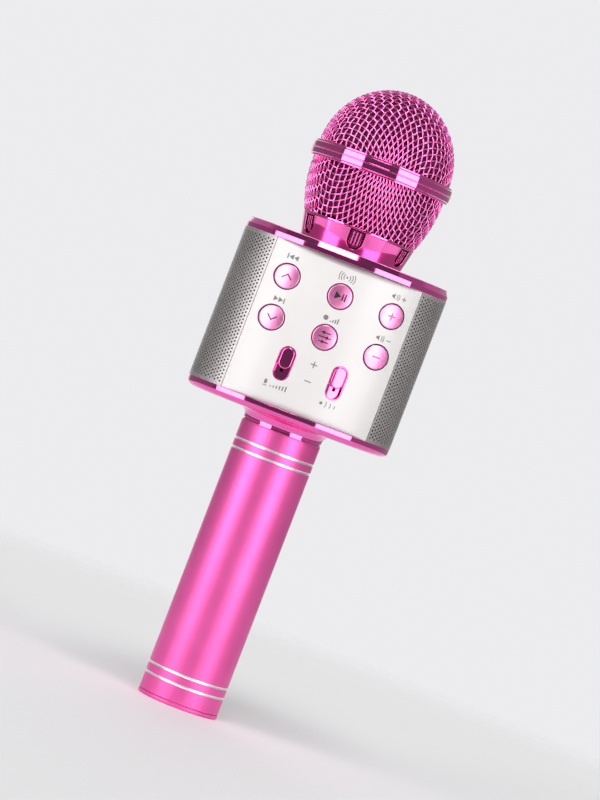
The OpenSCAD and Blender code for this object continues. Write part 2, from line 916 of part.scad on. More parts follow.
module foam_windscreen() {
  outer = 1.5;
  inner = 4.5;
  low = lip_top + 1;
  steps = 8;
  color(foam_maroon) rotate_extrude() polygon(concat(
    bowl_points(outer, low, band_bottom, steps),
    dome_points(outer, steps),
    [for (i = [steps:-1:0]) dome_points(inner, steps)[i]],
    [for (i = [steps:-1:0]) bowl_points(inner, low, band_bottom, steps)[i]]
  ));
}

module mic_capsule() {
  low = cradle_z + 2;
  color(steel) rotate_extrude() polygon([
    [0, low], [9.5, low], [10, low + 0.5], [10, low + 16], [9, low + 17.5], [0, low + 17.5]
  ]);
}

module capsule_cradle() {
  color(plastic_black) rotate_extrude() polygon([
    [1.2, cradle_z], [12, cradle_z], [12, cradle_z + 9], [10.1, cradle_z + 9],
    [10.1, cradle_z + 2], [1.2, cradle_z + 2]
  ]);
}

module capsule_post() {
  plate_t = 1.2;
  color(plastic_black) difference() {
    union() {
      translate([0, 0, neck_floor_z]) cylinder(r = post_plate_r, h = plate_t);
      translate([0, 0, neck_floor_z]) cylinder(r = 5, h = cradle_z - neck_floor_z);
    }
    translate([0, 0, neck_floor_z - 1]) cylinder(r = 2.5, h = 20);
    neck_screw_holes(1);
  }
}

module capsule_lead() {
  color("dimgray") bent_lead(0.7, cradle_z + 2, panel_bottom + 39);
}

// ---------- screws ----------

// A pan-head screw whose head sits at the origin and whose shank runs along +Z
module screw(head_r, head_h, r, h) {
  slot_w = 0.5;
  difference() {
    translate([0, 0, -head_h]) cylinder(r = head_r, h = head_h, $fn = 32);
    block([-head_r * 0.6, -slot_w / 2, -head_h - 1], [head_r * 0.6, slot_w / 2, -head_h * 0.55]);
    block([-slot_w / 2, -head_r * 0.6, -head_h - 1], [slot_w / 2, head_r * 0.6, -head_h * 0.55]);
  }
  cylinder(r = r, h = h, $fn = 24);
}

module rear_screws() {
  color(steel) for (side = [-1, 1], z = post_heights)
    translate([side * post_x, 20.5, z]) rotate([90, 0, 0]) screw(2.2, 1.6, 1.1, 10.5);
}

module board_screws() {
  color(steel) {
    for (side = [-1, 1], spot = board_post_spots)
      translate([side * spot.x, board_back, spot.y]) rotate([90, 0, 0]) screw(screw_head_r, 1.1, screw_r, 5);
    for (side = [-1, 1])
      translate([side * port_post_x, port_board_front, port_post_z]) rotate([-90, 0, 0])
        screw(screw_head_r, 1.1, screw_r, 7);
  }
}

module speaker_screws() {
  color(steel) for (side = [-1, 1])
    on_side(side) at_speaker_screws() translate([0, 0, basket_flange_back]) screw(1.2, 1, 0.7, 3);
}

module neck_screws() {
  color(steel) for (turn = [30, 150, 270]) rotate([0, 0, turn])
    translate([neck_screw_ring, 0, neck_floor_z + 1.2]) rotate([180, 0, 0]) screw(1.6, 1, screw_r, 5);
}

handle_tube();
tail_cap();
battery_spring();
battery_cell();
battery_sleeve();
battery_contact();
battery_lead();
lower_shell();
upper_shell();
front_panel();
rear_panel();
left_speaker_mesh();
right_speaker_mesh();
left_dust_cloth();
right_dust_cloth();
left_baffle();
right_baffle();
left_speaker_basket();
right_speaker_basket();
left_speaker_cone();
right_speaker_cone();
left_speaker_magnet();
right_speaker_magnet();
main_board();
port_board();
tact_switches();
previous_button();
next_button();
play_button();
mode_button();
plus_button();
minus_button();
left_slider_well();
right_slider_well();
left_slider_knob();
right_slider_knob();
left_slider_pot();
right_slider_pot();
usb_socket();
audio_jack();
charge_socket();
card_slot();
power_switch_body();
power_switch_knob();
indicator_light();
neck_ring();
neck_clips();
grille_thread_ring();
lower_grille();
grille_band();
upper_grille();
foam_windscreen();
mic_capsule();
capsule_cradle();
capsule_post();
capsule_lead();
rear_screws();
board_screws();
speaker_screws();
neck_screws();
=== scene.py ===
"""Karaoke microphone: the visible pieces, their materials, the light and the camera.

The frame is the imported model's: +Z runs along the microphone towards the grille, and the control
panel faces -Y. Shapes are worked out in millimetres and turned into metres when a mesh is made.
"""
import math
from bisect import bisect_right

import bpy
from mathutils import Matrix, Vector, noise
from mathutils.geometry import delaunay_2d_cdt


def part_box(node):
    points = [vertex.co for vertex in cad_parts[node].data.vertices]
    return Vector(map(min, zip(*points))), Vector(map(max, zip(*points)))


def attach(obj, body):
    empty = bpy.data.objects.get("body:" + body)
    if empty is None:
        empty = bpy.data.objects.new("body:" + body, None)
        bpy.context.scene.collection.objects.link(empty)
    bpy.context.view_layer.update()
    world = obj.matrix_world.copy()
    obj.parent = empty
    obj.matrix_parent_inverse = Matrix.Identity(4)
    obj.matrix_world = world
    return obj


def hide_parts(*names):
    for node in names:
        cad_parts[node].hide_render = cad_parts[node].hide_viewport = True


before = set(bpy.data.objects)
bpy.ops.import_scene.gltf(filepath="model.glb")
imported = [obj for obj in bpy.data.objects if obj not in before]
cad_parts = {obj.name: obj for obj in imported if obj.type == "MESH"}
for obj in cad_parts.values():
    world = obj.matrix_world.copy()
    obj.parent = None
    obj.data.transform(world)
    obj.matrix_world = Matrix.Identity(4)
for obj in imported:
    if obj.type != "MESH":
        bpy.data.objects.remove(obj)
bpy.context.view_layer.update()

MM = 0.001


def corners_of(node):
    """Lowest and highest corner of a node, in millimetres."""
    low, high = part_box(node)
    return Vector(low) / MM, Vector(high) / MM


def middle_of(node):
    low, high = corners_of(node)
    return (low + high) / 2


# ---------- sizes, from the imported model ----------

handle_low, handle_high = corners_of("handle_tube")
lower_high = corners_of("lower_shell")[1]
upper_low, upper_high = corners_of("upper_shell")
neck_high = corners_of("neck_ring")[1]
band_low, band_high = corners_of("grille_band")
thread_low, thread_high = corners_of("grille_thread_ring")
bowl_low = corners_of("lower_grille")[0]
dome_high = corners_of("upper_grille")[1]
well_high = corners_of("left_slider_well")[1]
knob_high = corners_of("left_slider_knob")[1]
cap_high = corners_of("tail_cap")[1]

handle_r = handle_high.x
handle_top = handle_high.z
tube_bottom = handle_low.z
panel_bottom = lower_high.z
panel_top = upper_low.z
box_top = upper_high.z
box_half_w = lower_high.x
box_half_d = lower_high.y
box_power = 2.1
panel_half_w = corners_of("front_panel")[1].x
panel_t = 2.0
neck_top = neck_high.z
neck_top_r = neck_high.x
neck_bottom_r = neck_top_r - 2
band_bottom = band_low.z
band_top = band_high.z
band_r = band_high.x
grille_r = dome_high.x
dome_top = dome_high.z
lip_top = bowl_low.z
lip_r = thread_high.x

collar_h = 4.8
box_bottom = handle_top + collar_h
lower_bevel_h = 2.2
lower_bevel_inset = 3.0
rim_wall = 3.2
wire_bore_r = 12.0
tube_bore_r = handle_r - 1.3

button_r = 4.7
button_gap = 0.35
cap_proud = 0.7
button_names = ("previous", "next", "play", "mode", "plus", "minus")

# ---------- outlines ----------


def outline_point(turn, grow):
    """A point of the box outline, grown by a distance, and its outward direction. turn is in radians."""
    half_w, half_d = box_half_w + grow, box_half_d + grow
    c, s = math.cos(turn), math.sin(turn)
    x = half_w * math.copysign(abs(c) ** (2 / box_power), c)
    y = half_d * math.copysign(abs(s) ** (2 / box_power), s)
    slope = box_power - 1
    nx = math.copysign(abs(x / half_w) ** slope, x) / half_w
    ny = math.copysign(abs(y / half_d) ** slope, y) / half_d
    return Vector((x, y)), Vector((nx, ny)).normalized()


def outline_y(x, grow):
    """How far the grown box outline lies from the middle at x, and the outward direction there."""
    half_w, half_d = box_half_w + grow, box_half_d + grow
    y = half_d * (1 - min(1, abs(x) / half_w) ** box_power) ** (1 / box_power)
    slope = box_power - 1
    nx = math.copysign((abs(x) / half_w) ** slope, x) / half_w
    ny = (y / half_d) ** slope / half_d
    return y, Vector((nx, ny)).normalized()


def circle_point(turn, radius):
    way = Vector((math.cos(turn), math.sin(turn)))
    return way * radius, way


def loop_round(x, z, w, h, r, steps=8):
    """A rounded rectangle, a stadium or a circle as a function of how far it is grown."""
    def grown(grow):
        points = []
        for quarter, (side, lift) in enumerate(((1, 1), (-1, 1), (-1, -1), (1, -1))):
            for k in range(steps + 1):
                turn = math.radians(90 * (quarter + k / steps))
                p = Vector((x + side * (w / 2 - r) + (r + grow) * math.cos(turn),
                            z + lift * (h / 2 - r) + (r + grow) * math.sin(turn)))
                if not points or (p - points[-1]).length > 1e-5:
                    points.append(p)
        if (points[0] - points[-1]).length < 1e-5:
            points.pop()
        return points
    return grown


def loop_circle(x, z, r, steps=12):
    return loop_round(x, z, 2 * r, 2 * r, r, steps)


LONGEST_EDGE = 0.8


def loop_fixed(points):
    """A sharp-cornered loop that doesn't grow, its long sides divided so that they follow a curved face."""
    corners = [Vector(p) for p in points]
    if sum(a.cross(b) for a, b in zip(corners, corners[1:] + corners[:1])) < 0:
        corners.reverse()
    divided = []
    for a, b in zip(corners, corners[1:] + corners[:1]):
        parts = math.ceil((b - a).length / LONGEST_EDGE)
        divided.extend(a.lerp(b, k / parts) for k in range(parts))
    return lambda grow: divided


# ---------- mesh building ----------


def mesh_object(name, points, faces, materials):
    """A smooth object from points in millimetres."""
    mesh = bpy.data.meshes.new(name)
    mesh.from_pydata([p * MM for p in points], [], faces)
    mesh.shade_smooth()
    for material in materials:
        mesh.materials.append(material)
    obj = bpy.data.objects.new(name, mesh)
    bpy.context.scene.collection.objects.link(obj)
    return obj


def turned(degrees):
    return Matrix.Rotation(math.radians(degrees), 4, "Z")


class Skin:
    """Collects points and faces, each face with its corners' normals and a material number."""

    def __init__(self):
        self.points = []
        self.index = {}
        self.faces = []
        self.normals = []
        self.slots = []
        self.place = Matrix.Identity(4)

    def point(self, co):
        co = self.place @ Vector(co)
        key = (round(co.x, 5), round(co.y, 5), round(co.z, 5))
        if key not in self.index:
            self.index[key] = len(self.points)
            self.points.append(co)
        return self.index[key]

    def face(self, corners, normals, slot=0):
        """corners are point numbers, and normals one direction each, or one for all of them."""
        if isinstance(normals, Vector):
            normals = [normals] * len(corners)
        turn = self.place.to_3x3()
        kept = [(c, turn @ n) for k, (c, n) in enumerate(zip(corners, normals)) if c != corners[k - 1]]
        if len({c for c, _ in kept}) < 3:
            return
        ids = [c for c, _ in kept]
        ways = [n for _, n in kept]
        a, b, c = (self.points[i] for i in (ids[0], ids[1], ids[2]))
        real = (b - a).cross(c - a)
        if len(ids) > 3:
            real = real + (c - a).cross(self.points[ids[3]] - a)
        if real.dot(sum(ways, Vector())) < 0:
            ids.reverse()
            ways.reverse()
        self.faces.append(ids)
        self.normals.extend(ways)
        self.slots.append(slot)

    def join(self, here, there, slot=0):
        """Faces between two closed rows, each a list of (point number, direction)."""
        for k in range(len(here)):
            m = (k + 1) % len(here)
            corners = (here[k], there[k], there[m], here[m])
            self.face([c for c, _ in corners], [way for _, way in corners], slot)

    def build(self, name, materials):
        obj = mesh_object(name, self.points, self.faces, materials)
        obj.data.polygons.foreach_set("material_index", self.slots)
        obj.data.normals_split_custom_set([n.normalized() for n in self.normals])
        return obj


def finish_piece(obj, body, slot, *nodes):
    """Sets the body a piece rides on and hides the nodes it stands in for. The slot is not used."""
    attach(obj, body)
    if nodes:
        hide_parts(*nodes)
    return obj


def place_along(lengths, wanted):
    """The last point before a distance along a path, and the share of the way on to the next one."""
    wanted = min(max(wanted, 0), lengths[-1])
    low = min(bisect_right(lengths, wanted) - 1, len(lengths) - 2)
    return low, (wanted - lengths[low]) / max(lengths[low + 1] - lengths[low], 1e-9)


def on_circles(*corners):
    """Profile corners on circles, from (radius, z, edge) or (radius, z, edge, slot)."""
    return [(circle_point, *corner) for corner in corners]


def rounded_profile(corners):
    """Rounds a closed profile's corners.

    corners are (ring, size, z, edge) or (ring, size, z, edge, slot), counter-clockwise. edge is 0 for
    a sharp corner, a radius for a rounded one, or "smooth" for a point on a curve. The result is a
    list of points and, for each stretch between two of them, the directions at its ends and its slot.
    """
    count = len(corners)
    places = [Vector(c[1:3]) for c in corners]
    slots = [c[4] if len(c) > 4 else 0 for c in corners]

    def right_of(way):
        return Vector((way.y, -way.x)).normalized()

    points, joins = [], []
    for i, corner in enumerate(corners):
        before, here, after = places[i - 1], places[i], places[(i + 1) % count]
        way_in, way_out = here - before, after - here
        n_in, n_out = right_of(way_in), right_of(way_out)
        edge = corner[3]
        if edge == "smooth":
            shared = (n_in * way_out.length + n_out * way_in.length).normalized()
            points.append((corner[0], here, shared, shared, slots[i]))
        elif edge == 0:
            points.append((corner[0], here, n_in, n_out, slots[i]))
        else:
            turn = n_in.angle_signed(n_out, 0)
            reach = min(edge * abs(math.tan(turn / 2)), way_in.length * 0.48, way_out.length * 0.48)
            radius = reach / max(abs(math.tan(turn / 2)), 1e-6)
            start = here - way_in.normalized() * reach
            side = 1 if n_in.cross(n_out) > 0 else -1
            centre = start - n_in * radius * side
            steps = max(3, int(abs(math.degrees(turn)) / 12))
            for k in range(steps + 1):
                way = n_in.copy()
                way.rotate(Matrix.Rotation(side * abs(turn) * k / steps, 2))
                points.append((corner[0], centre + way * radius * side, way, way, slots[i]))
    for k in range(len(points)):
        joins.append((points[k][3], points[(k + 1) % len(points)][2], points[k][4]))
    return [(p[0], p[1]) for p in points], joins


def sweep(skin, corners, steps):
    """Carries a rounded profile round the microphone's axis, on circles or on the box outline."""
    profile, joins = rounded_profile(corners)
    turns = [2 * math.pi * (k + 0.5) / steps for k in range(steps)]
    rings = []
    for ring, place in profile:
        spots = [ring(turn, place.x) for turn in turns]
        if ring is circle_point and abs(place.x) < 1e-6:
            rings.append([(skin.point((0, 0, place.y)), way) for _, way in spots])
        else:
            rings.append([(skin.point((p.x, p.y, place.y)), way) for p, way in spots])
    for k, (n_start, n_end, slot) in enumerate(joins):
        rows = []
        for ring, n in ((rings[k], n_start), (rings[(k + 1) % len(rings)], n_end)):
            rows.append([(vert, Vector((way.x * n.x, way.y * n.x, n.y))) for vert, way in ring])
        skin.join(*rows, slot)


def swept_piece(corners, steps, name, materials, body, slot, *nodes):
    skin = Skin()
    sweep(skin, corners, steps)
    return finish_piece(skin.build(name, materials), body, slot, *nodes)


def within_loop(p, loop):
    """Whether a point lies inside a loop, by counting the sides to its right."""
    crossings = 0
    for a, b in zip(loop, loop[1:] + loop[:1]):
        if (a.y > p.y) != (b.y > p.y) and p.x < a.x + (b.x - a.x) * (p.y - a.y) / (b.y - a.y):
            crossings += 1
    return crossings % 2 == 1


def triangles(loops, extra=()):
    """Fills the first loop, less the others, and returns flat points and triangles."""
    coords, edges = [], []
    for loop in loops:
        first = len(coords)
        coords.extend(loop)
        edges.extend((first + k, first + (k + 1) % len(loop)) for k in range(len(loop)))
    coords.extend(extra)
    out = delaunay_2d_cdt(coords, edges, [], 1, 1e-6)
    flat, faces = out[0], out[2]
    boxes = []
    for loop in loops[1:]:
        xs, zs = [p.x for p in loop], [p.y for p in loop]
        boxes.append((min(xs), max(xs), min(zs), max(zs), loop))
    kept = []
    for face in faces:
        middle = sum((flat[k] for k in face), Vector((0, 0))) / len(face)
        if not any(x0 < middle.x < x1 and z0 < middle.y < z1 and within_loop(middle, loop)
                   for x0, x1, z0, z1, loop in boxes):
            kept.append(face)
    return flat, kept


def clear_grid(loops, step, box):
    """Grid points inside a box and clear of the loops' points."""
    low, high = box
    near = step * 0.45
    rows = max(1, round((high[1] - low[1]) / step))
    columns = max(1, round((high[0] - low[0]) / step))
    edge_points = [p for loop in loops for p in loop]
    grid = []
    for i in range(1, columns):
        for j in range(1, rows):
            p = Vector((low[0] + (high[0] - low[0]) * i / columns, low[1] + (high[1] - low[1]) * j / rows))
            if all((p - q).length > near for q in edge_points):
                grid.append(p)
    return grid


class Surface:
    """A face of the box: y at x on the front side, and its outward direction."""

    def __init__(self, grow):
        self.grow = grow

    def at(self, x, z, depth=0):
        y, way = outline_y(x, self.grow)
        return Vector((x, -y + depth, z)), Vector((way.x, -way.y, 0))


class Domed:
    """A face that follows the box outline and also falls away round its middle like a shallow dome."""

    def __init__(self, grow, x, z, radius):
        self.base = Surface(grow)
        self.x, self.z, self.radius = x, z, radius

    def at(self, x, z, depth=0):
        dx, dz = (x - self.x) / self.radius, (z - self.z) / self.radius
        co, way = self.base.at(x, z, depth + (dx * dx + dz * dz) * self.radius / 2)
        return co, (way + Vector((dx, 0, dz))).normalized()


class Flat:
    """A flat face at a given y, looking towards -Y."""

    def __init__(self, y):
        self.y = y

    def at(self, x, z, depth=0):
        return Vector((x, self.y + depth, z)), Vector((0, -1, 0))


def side_ways(base, outward):
    """Which way a wall along a loop faces at each of the loop's points."""
    ways = []
    for k in range(len(base)):
        tangent = base[(k + 1) % len(base)] - base[k - 1]
        ways.append(Vector((tangent.y, 0, -tangent.x)).normalized() * outward)
    return ways


def lip_rows(skin, loop, face, lip, outward, steps=4):
    """A rounded edge from the face down to a straight wall; returns the last row of points."""
    rows = []
    for k in range(steps + 1):
        a = math.pi / 2 * k / steps
        grow = -outward * lip * (1 - math.sin(a))
        rows.append((loop(grow), lip * (1 - math.cos(a)), a))
    away = side_ways(loop(0), outward)
    made = []
    for flat, depth, a in rows:
        row = []
        for k, p in enumerate(flat):
            co, out = face.at(p.x, p.y, depth)
            row.append((skin.point(co), (out * math.cos(a) + away[k] * math.sin(a)).normalized()))
        made.append(row)
    for here, there in zip(made, made[1:]):
        skin.join(here, there)
    return [(vert, way) for (vert, _), way in zip(made[-1], away)]


def walls(skin, row, back_row, sharp=False, slot=0):
    """Walls from a row of points with directions back to a row of points, flat-shaded where sharp."""
    if not sharp:
        skin.join(row, [(vert, way) for vert, (_, way) in zip(back_row, row)], slot)
        return
    turn = skin.place.to_3x3()
    for k in range(len(row)):
        m = (k + 1) % len(row)
        ids = [row[k][0], back_row[k], back_row[m], row[m][0]]
        a, b, c = (skin.points[i] for i in (ids[0], ids[1], ids[3]))
        flat = (b - a).cross(c - a)
        if flat.dot(turn @ (row[k][1] + row[m][1])) < 0:
            flat.negate()
        skin.face(ids, (turn.inverted() @ flat).normalized(), slot)


def fill(skin, loops, face, step, side=1, slot=0):
    """Fills between loops on a face; side is -1 for the far side of a piece."""
    xs, zs = [p.x for p in loops[0]], [p.y for p in loops[0]]
    grid = clear_grid(loops, step, ((min(xs), min(zs)), (max(xs), max(zs))))
    flat, faces = triangles(loops, grid)
    spots = [face.at(p.x, p.y) for p in flat]
    ids = [skin.point(co) for co, _ in spots]
    for f in faces:
        skin.face([ids[k] for k in f], [spots[k][1] * side for k in f], slot)


def straight_row(skin, loop, face, outward):
    """The points of a loop on a face, each with the direction its wall faces."""
    base = loop(0)
    return [(skin.point(face.at(p.x, p.y)[0]), way) for p, way in zip(base, side_ways(base, outward))]


def plate(skin, outer, holes, front, back, lip=0.2, hole_lip=0.2, pockets=(), step=2.0, inner_slot=0):
    """A closed plate between two faces, with rounded edges, through holes and shallow pockets.

    outer and holes are loop functions; pockets are (loop function, depth). inner_slot is the material
    of the pockets' floors and of the holes' walls.
    """
    openings = [hole(hole_lip) for hole in holes] + [loop(0) for loop, _ in pockets]
    fill(skin, [outer(-lip)] + openings, front, step)
    fill(skin, [outer(0)] + [hole(0) for hole in holes], back, step * 1.5, -1)
    for loop, outward, size in [(outer, 1, lip)] + [(hole, -1, hole_lip) for hole in holes]:
        if size > 0:
            row = lip_rows(skin, loop, front, size, outward)
        else:
            row = straight_row(skin, loop, front, outward)
        back_row = [skin.point(back.at(p.x, p.y)[0]) for p in loop(0)]
        walls(skin, row, back_row, size == 0, inner_slot if outward < 0 else 0)
    for loop, depth in pockets:
        floor = [skin.point(front.at(p.x, p.y, depth)[0]) for p in loop(0)]
        walls(skin, straight_row(skin, loop, front, -1), floor, True, inner_slot)
        flat, faces = triangles([loop(0)])
        for f in faces:
            deep = [front.at(flat[k].x, flat[k].y, depth) for k in f]
            skin.face([skin.point(co) for co, _ in deep], [way for _, way in deep], inner_slot)


def tube_y(skin, x, z, r_out, r_in, y0, y1, steps=32):
    """A straight tube along Y with flat ends, or a rod where r_in is 0."""
    outer = loop_circle(x, z, r_out, steps // 4)(0)
    count = len(outer)
    centre = Vector((x, z))
    inner = [centre + (p - centre) * (r_in / r_out) for p in outer]
    for k in range(count):
        m = (k + 1) % count
        a, b = outer[k], outer[m]
        wa, wb = (Vector((p.x - x, 0, p.y - z)).normalized() for p in (a, b))
        ring = [skin.point((p.x, y, p.y)) for y in (y0, y1) for p in (a, b)]
        skin.face([ring[0], ring[1], ring[3], ring[2]], [wa, wb, wb, wa])
        ia, ib = inner[k], inner[m]
        if r_in > 0:
            bore = [skin.point((p.x, y, p.y)) for y in (y0, y1) for p in (ia, ib)]
            skin.face([bore[0], bore[1], bore[3], bore[2]], [-wa, -wb, -wb, -wa])
            skin.face([ring[0], ring[1], bore[1], bore[0]], Vector((0, -1, 0)))
            skin.face([ring[2], ring[3], bore[3], bore[2]], Vector((0, 1, 0)))
        else:
            for y, way, pair in ((y0, -1, ring[:2]), (y1, 1, ring[2:])):
                skin.face([pair[0], pair[1], skin.point((x, y, z))], Vector((0, way, 0)))


# ---------- materials ----------


def add_node(tree, kind, links=(), **values):
    """A shader node; links gives its inputs, as other nodes' outputs or as plain values."""
    node = tree.nodes.new(kind)
    for key, value in values.items():
        setattr(node, key, value)
    for socket, source in dict(links).items():
        target = node.inputs[socket]
        if hasattr(source, "is_output"):
            tree.links.new(source, target)
        else:
            target.default_value = source
    return node


class Nodes:
    """A material's node tree with short calls for what the materials share."""

    def __init__(self, name):
        self.material = bpy.data.materials.new(name)
        self.material.use_nodes = True
        self.tree = self.material.node_tree
        self.shader = self.tree.nodes["Principled BSDF"]
        self.space = self.tree.nodes.new("ShaderNodeTexCoord").outputs["Object"]

    def add(self, kind, links=(), **values):
        return add_node(self.tree, kind, links, **values)

    def noise(self, scale, detail=2):
        node = self.add("ShaderNodeTexNoise", {"Vector": self.space, "Scale": scale, "Detail": detail})
        return node.outputs["Fac"]

    def ramp(self, fac, stops):
        node = self.add("ShaderNodeValToRGB", {"Fac": fac})
        elements = node.color_ramp.elements
        while len(elements) < len(stops):
            elements.new(0.5)
        for element, (place, colour) in zip(elements, stops):
            element.position = place
            element.color = (*colour, 1)
        return node.outputs["Color"]

    def spread(self, fac, low, high):
        """Maps a noise to a range of values."""
        node = self.add("ShaderNodeMapRange", {"Value": fac, "From Min": 0.3, "From Max": 0.7,
                                               "To Min": low, "To Max": high})
        return node.outputs[0]

    def bump(self, height, strength, distance):
        """distance is in millimetres."""
        sockets = {"Height": height, "Strength": strength, "Distance": distance * MM}
        node = self.add("ShaderNodeBump", sockets)
        self.link(node.outputs[0], "Normal")

    def link(self, source, socket):
        self.tree.links.new(source, self.shader.inputs[socket])

    def set(self, **values):
        for key, value in values.items():
            socket = self.shader.inputs[key.replace("_", " ")]
            socket.default_value = (*value, 1) if isinstance(value, tuple) and len(value) == 3 else value
        return self


def metal(name, colours, roughness, grain_scale, grain_bump=0.0, metallic=1.0, coat=0.0):
    """A metal whose colour and roughness vary a little; colours and roughness are (low, high)."""
    m = Nodes(name)
    m.set(Metallic=metallic, Coat_Weight=coat, Coat_Roughness=0.03)
    grain = m.noise(grain_scale, 3)
    m.link(m.ramp(m.noise(60), [(0.35, colours[0]), (0.65, colours[1])]), "Base Color")
    m.link(m.spread(grain, *roughness), "Roughness")
    if grain_bump:
        m.bump(grain, 0.5, grain_bump)
    return m.material


def plastic(name, colours, roughness, grain_scale=900, grain_bump=0.01, coat=0.0):
    """A plastic with a fine grain; colours and roughness are (low, high)."""
    m = Nodes(name)
    m.set(Coat_Weight=coat, Coat_Roughness=0.08)
    m.link(m.ramp(m.noise(40), [(0.35, colours[0]), (0.65, colours[1])]), "Base Color")
    grain = m.noise(grain_scale, 2)
    m.link(m.spread(grain, *roughness), "Roughness")
    m.bump(grain, 0.3, grain_bump)
    return m.material


def foam_material():
    m = Nodes("foam_maroon")
    pores = m.add("ShaderNodeTexVoronoi", {"Vector": m.space, "Scale": 900.0})
    shades = [(0.1, (0.03, 0.003, 0.014)), (0.7, (0.17, 0.015, 0.075))]
    m.link(m.ramp(pores.outputs["Distance"], shades), "Base Color")
    m.set(Roughness=0.95)
    m.bump(pores.outputs["Distance"], 0.9, 0.4)
    return m.material


def cloth_material():
    m = Nodes("acoustic_cloth")
    across = m.add("ShaderNodeTexWave", {"Vector": m.space, "Scale": 700.0}, bands_direction="Y")
    up = m.add("ShaderNodeTexWave", {"Vector": m.space, "Scale": 700.0}, bands_direction="Z")
    weave = m.add("ShaderNodeMath", {0: across.outputs["Fac"], 1: up.outputs["Fac"]}, operation="MULTIPLY")
    shades = [(0.0, (0.004, 0.004, 0.005)), (1.0, (0.03, 0.028, 0.03))]
    m.link(m.ramp(weave.outputs[0], shades), "Base Color")
    m.set(Roughness=0.9)
    m.bump(weave.outputs[0], 0.6, 0.1)
    return m.material


def board_material():
    """Green solder mask with copper tracks showing faintly through it."""
    m = Nodes("circuit_board")
    tracks = m.add("ShaderNodeTexBrick", {"Vector": m.space, "Scale": 260.0, "Mortar Size": 0.03})
    green = m.ramp(tracks.outputs["Fac"], [(0.0, (0.01, 0.10, 0.05)), (1.0, (0.03, 0.20, 0.10))])
    m.link(green, "Base Color")
    m.link(m.spread(m.noise(300), 0.3, 0.45), "Roughness")
    m.bump(tracks.outputs["Fac"], 0.4, 0.03)
    return m.material


chrome_pink = metal("chrome_pink", ((0.95, 0.115, 0.49), (1.0, 0.135, 0.53)), (0.035, 0.07), 240, coat=1.0)
button_pink = metal("button_pink", ((0.92, 0.27, 0.57), (0.98, 0.33, 0.63)), (0.3, 0.42), 500, 0.02,
                    coat=0.5)
# painted light: a lighter, rougher pink for the top face of the upper rim, a lit copy of the chrome
top_face_painted_light = metal("top_face_painted_light", ((0.96, 0.36, 0.68), (1.0, 0.42, 0.74)), (0.3, 0.38), 400, coat=0.4)
# painted shade: a dark maroon metal for the walls and seats of the neck's clip pockets
pocket_painted_shade = metal("pocket_painted_shade", ((0.22, 0.02, 0.08), (0.28, 0.028, 0.10)), (0.25, 0.35), 400)
satin_pink = metal("satin_pink", ((0.90, 0.125, 0.44), (0.94, 0.14, 0.47)), (0.32, 0.48), 2600, 0.04,
                   metallic=0.8)
wire_pink = metal("wire_pink", ((0.92, 0.19, 0.56), (1.0, 0.25, 0.64)), (0.16, 0.28), 700, 0.01, coat=0.6)
ring_silver = metal("cut_ring_silver", ((0.90, 0.87, 0.88), (0.97, 0.94, 0.95)), (0.3, 0.42), 900, 0.01)
sheet_silver = metal("sheet_silver", ((0.44, 0.41, 0.41), (0.51, 0.475, 0.475)), (0.36, 0.5), 1500, 0.01,
                     metallic=0.9)
nickel = metal("nickel_steel", ((0.62, 0.61, 0.60), (0.72, 0.71, 0.70)), (0.2, 0.35), 900, 0.01)
ferrite = metal("magnet_steel", ((0.16, 0.16, 0.17), (0.24, 0.24, 0.25)), (0.4, 0.6), 900, 0.02)
brass = metal("contact_brass", ((0.75, 0.50, 0.20), (0.85, 0.58, 0.26)), (0.2, 0.35), 800, 0.01)
panel_white = plastic("panel_white", ((0.64, 0.615, 0.61), (0.66, 0.635, 0.63)), (0.3, 0.36), 1200, 0.004,
                      coat=0.2)
ink_grey = plastic("ink_grey", ((0.15, 0.145, 0.145), (0.18, 0.175, 0.175)), (0.5, 0.6))
# painted shade in the button caps' sunk icons: near black, and a muted rose for plus and minus
icon_painted_shade = plastic("icon_painted_shade", ((0.02, 0.003, 0.01), (0.03, 0.005, 0.015)), (0.7, 0.8))
icon_painted_shade_rose = plastic("icon_painted_shade_rose", ((0.46, 0.12, 0.28), (0.52, 0.15, 0.33)), (0.5, 0.6))
black_plastic = plastic("black_plastic", ((0.012, 0.012, 0.014), (0.022, 0.022, 0.024)), (0.4, 0.55),
                        900, 0.03)
clear_plastic = plastic("milky_light_pipe", ((0.75, 0.78, 0.8), (0.85, 0.87, 0.9)), (0.15, 0.22), coat=0.5)
rubber = plastic("black_rubber", ((0.010, 0.010, 0.010), (0.020, 0.020, 0.020)), (0.7, 0.85), 700, 0.05)
paper = plastic("paper_cone", ((0.016, 0.016, 0.018), (0.03, 0.03, 0.032)), (0.75, 0.9), 1500, 0.08)
cell_wrap = plastic("cell_wrap", ((0.03, 0.12, 0.36), (0.05, 0.16, 0.44)), (0.25, 0.35), coat=0.3)
lead_red = plastic("lead_insulation", ((0.30, 0.02, 0.02), (0.38, 0.03, 0.03)), (0.4, 0.5))
foam = foam_material()
cloth = cloth_material()
board = board_material()

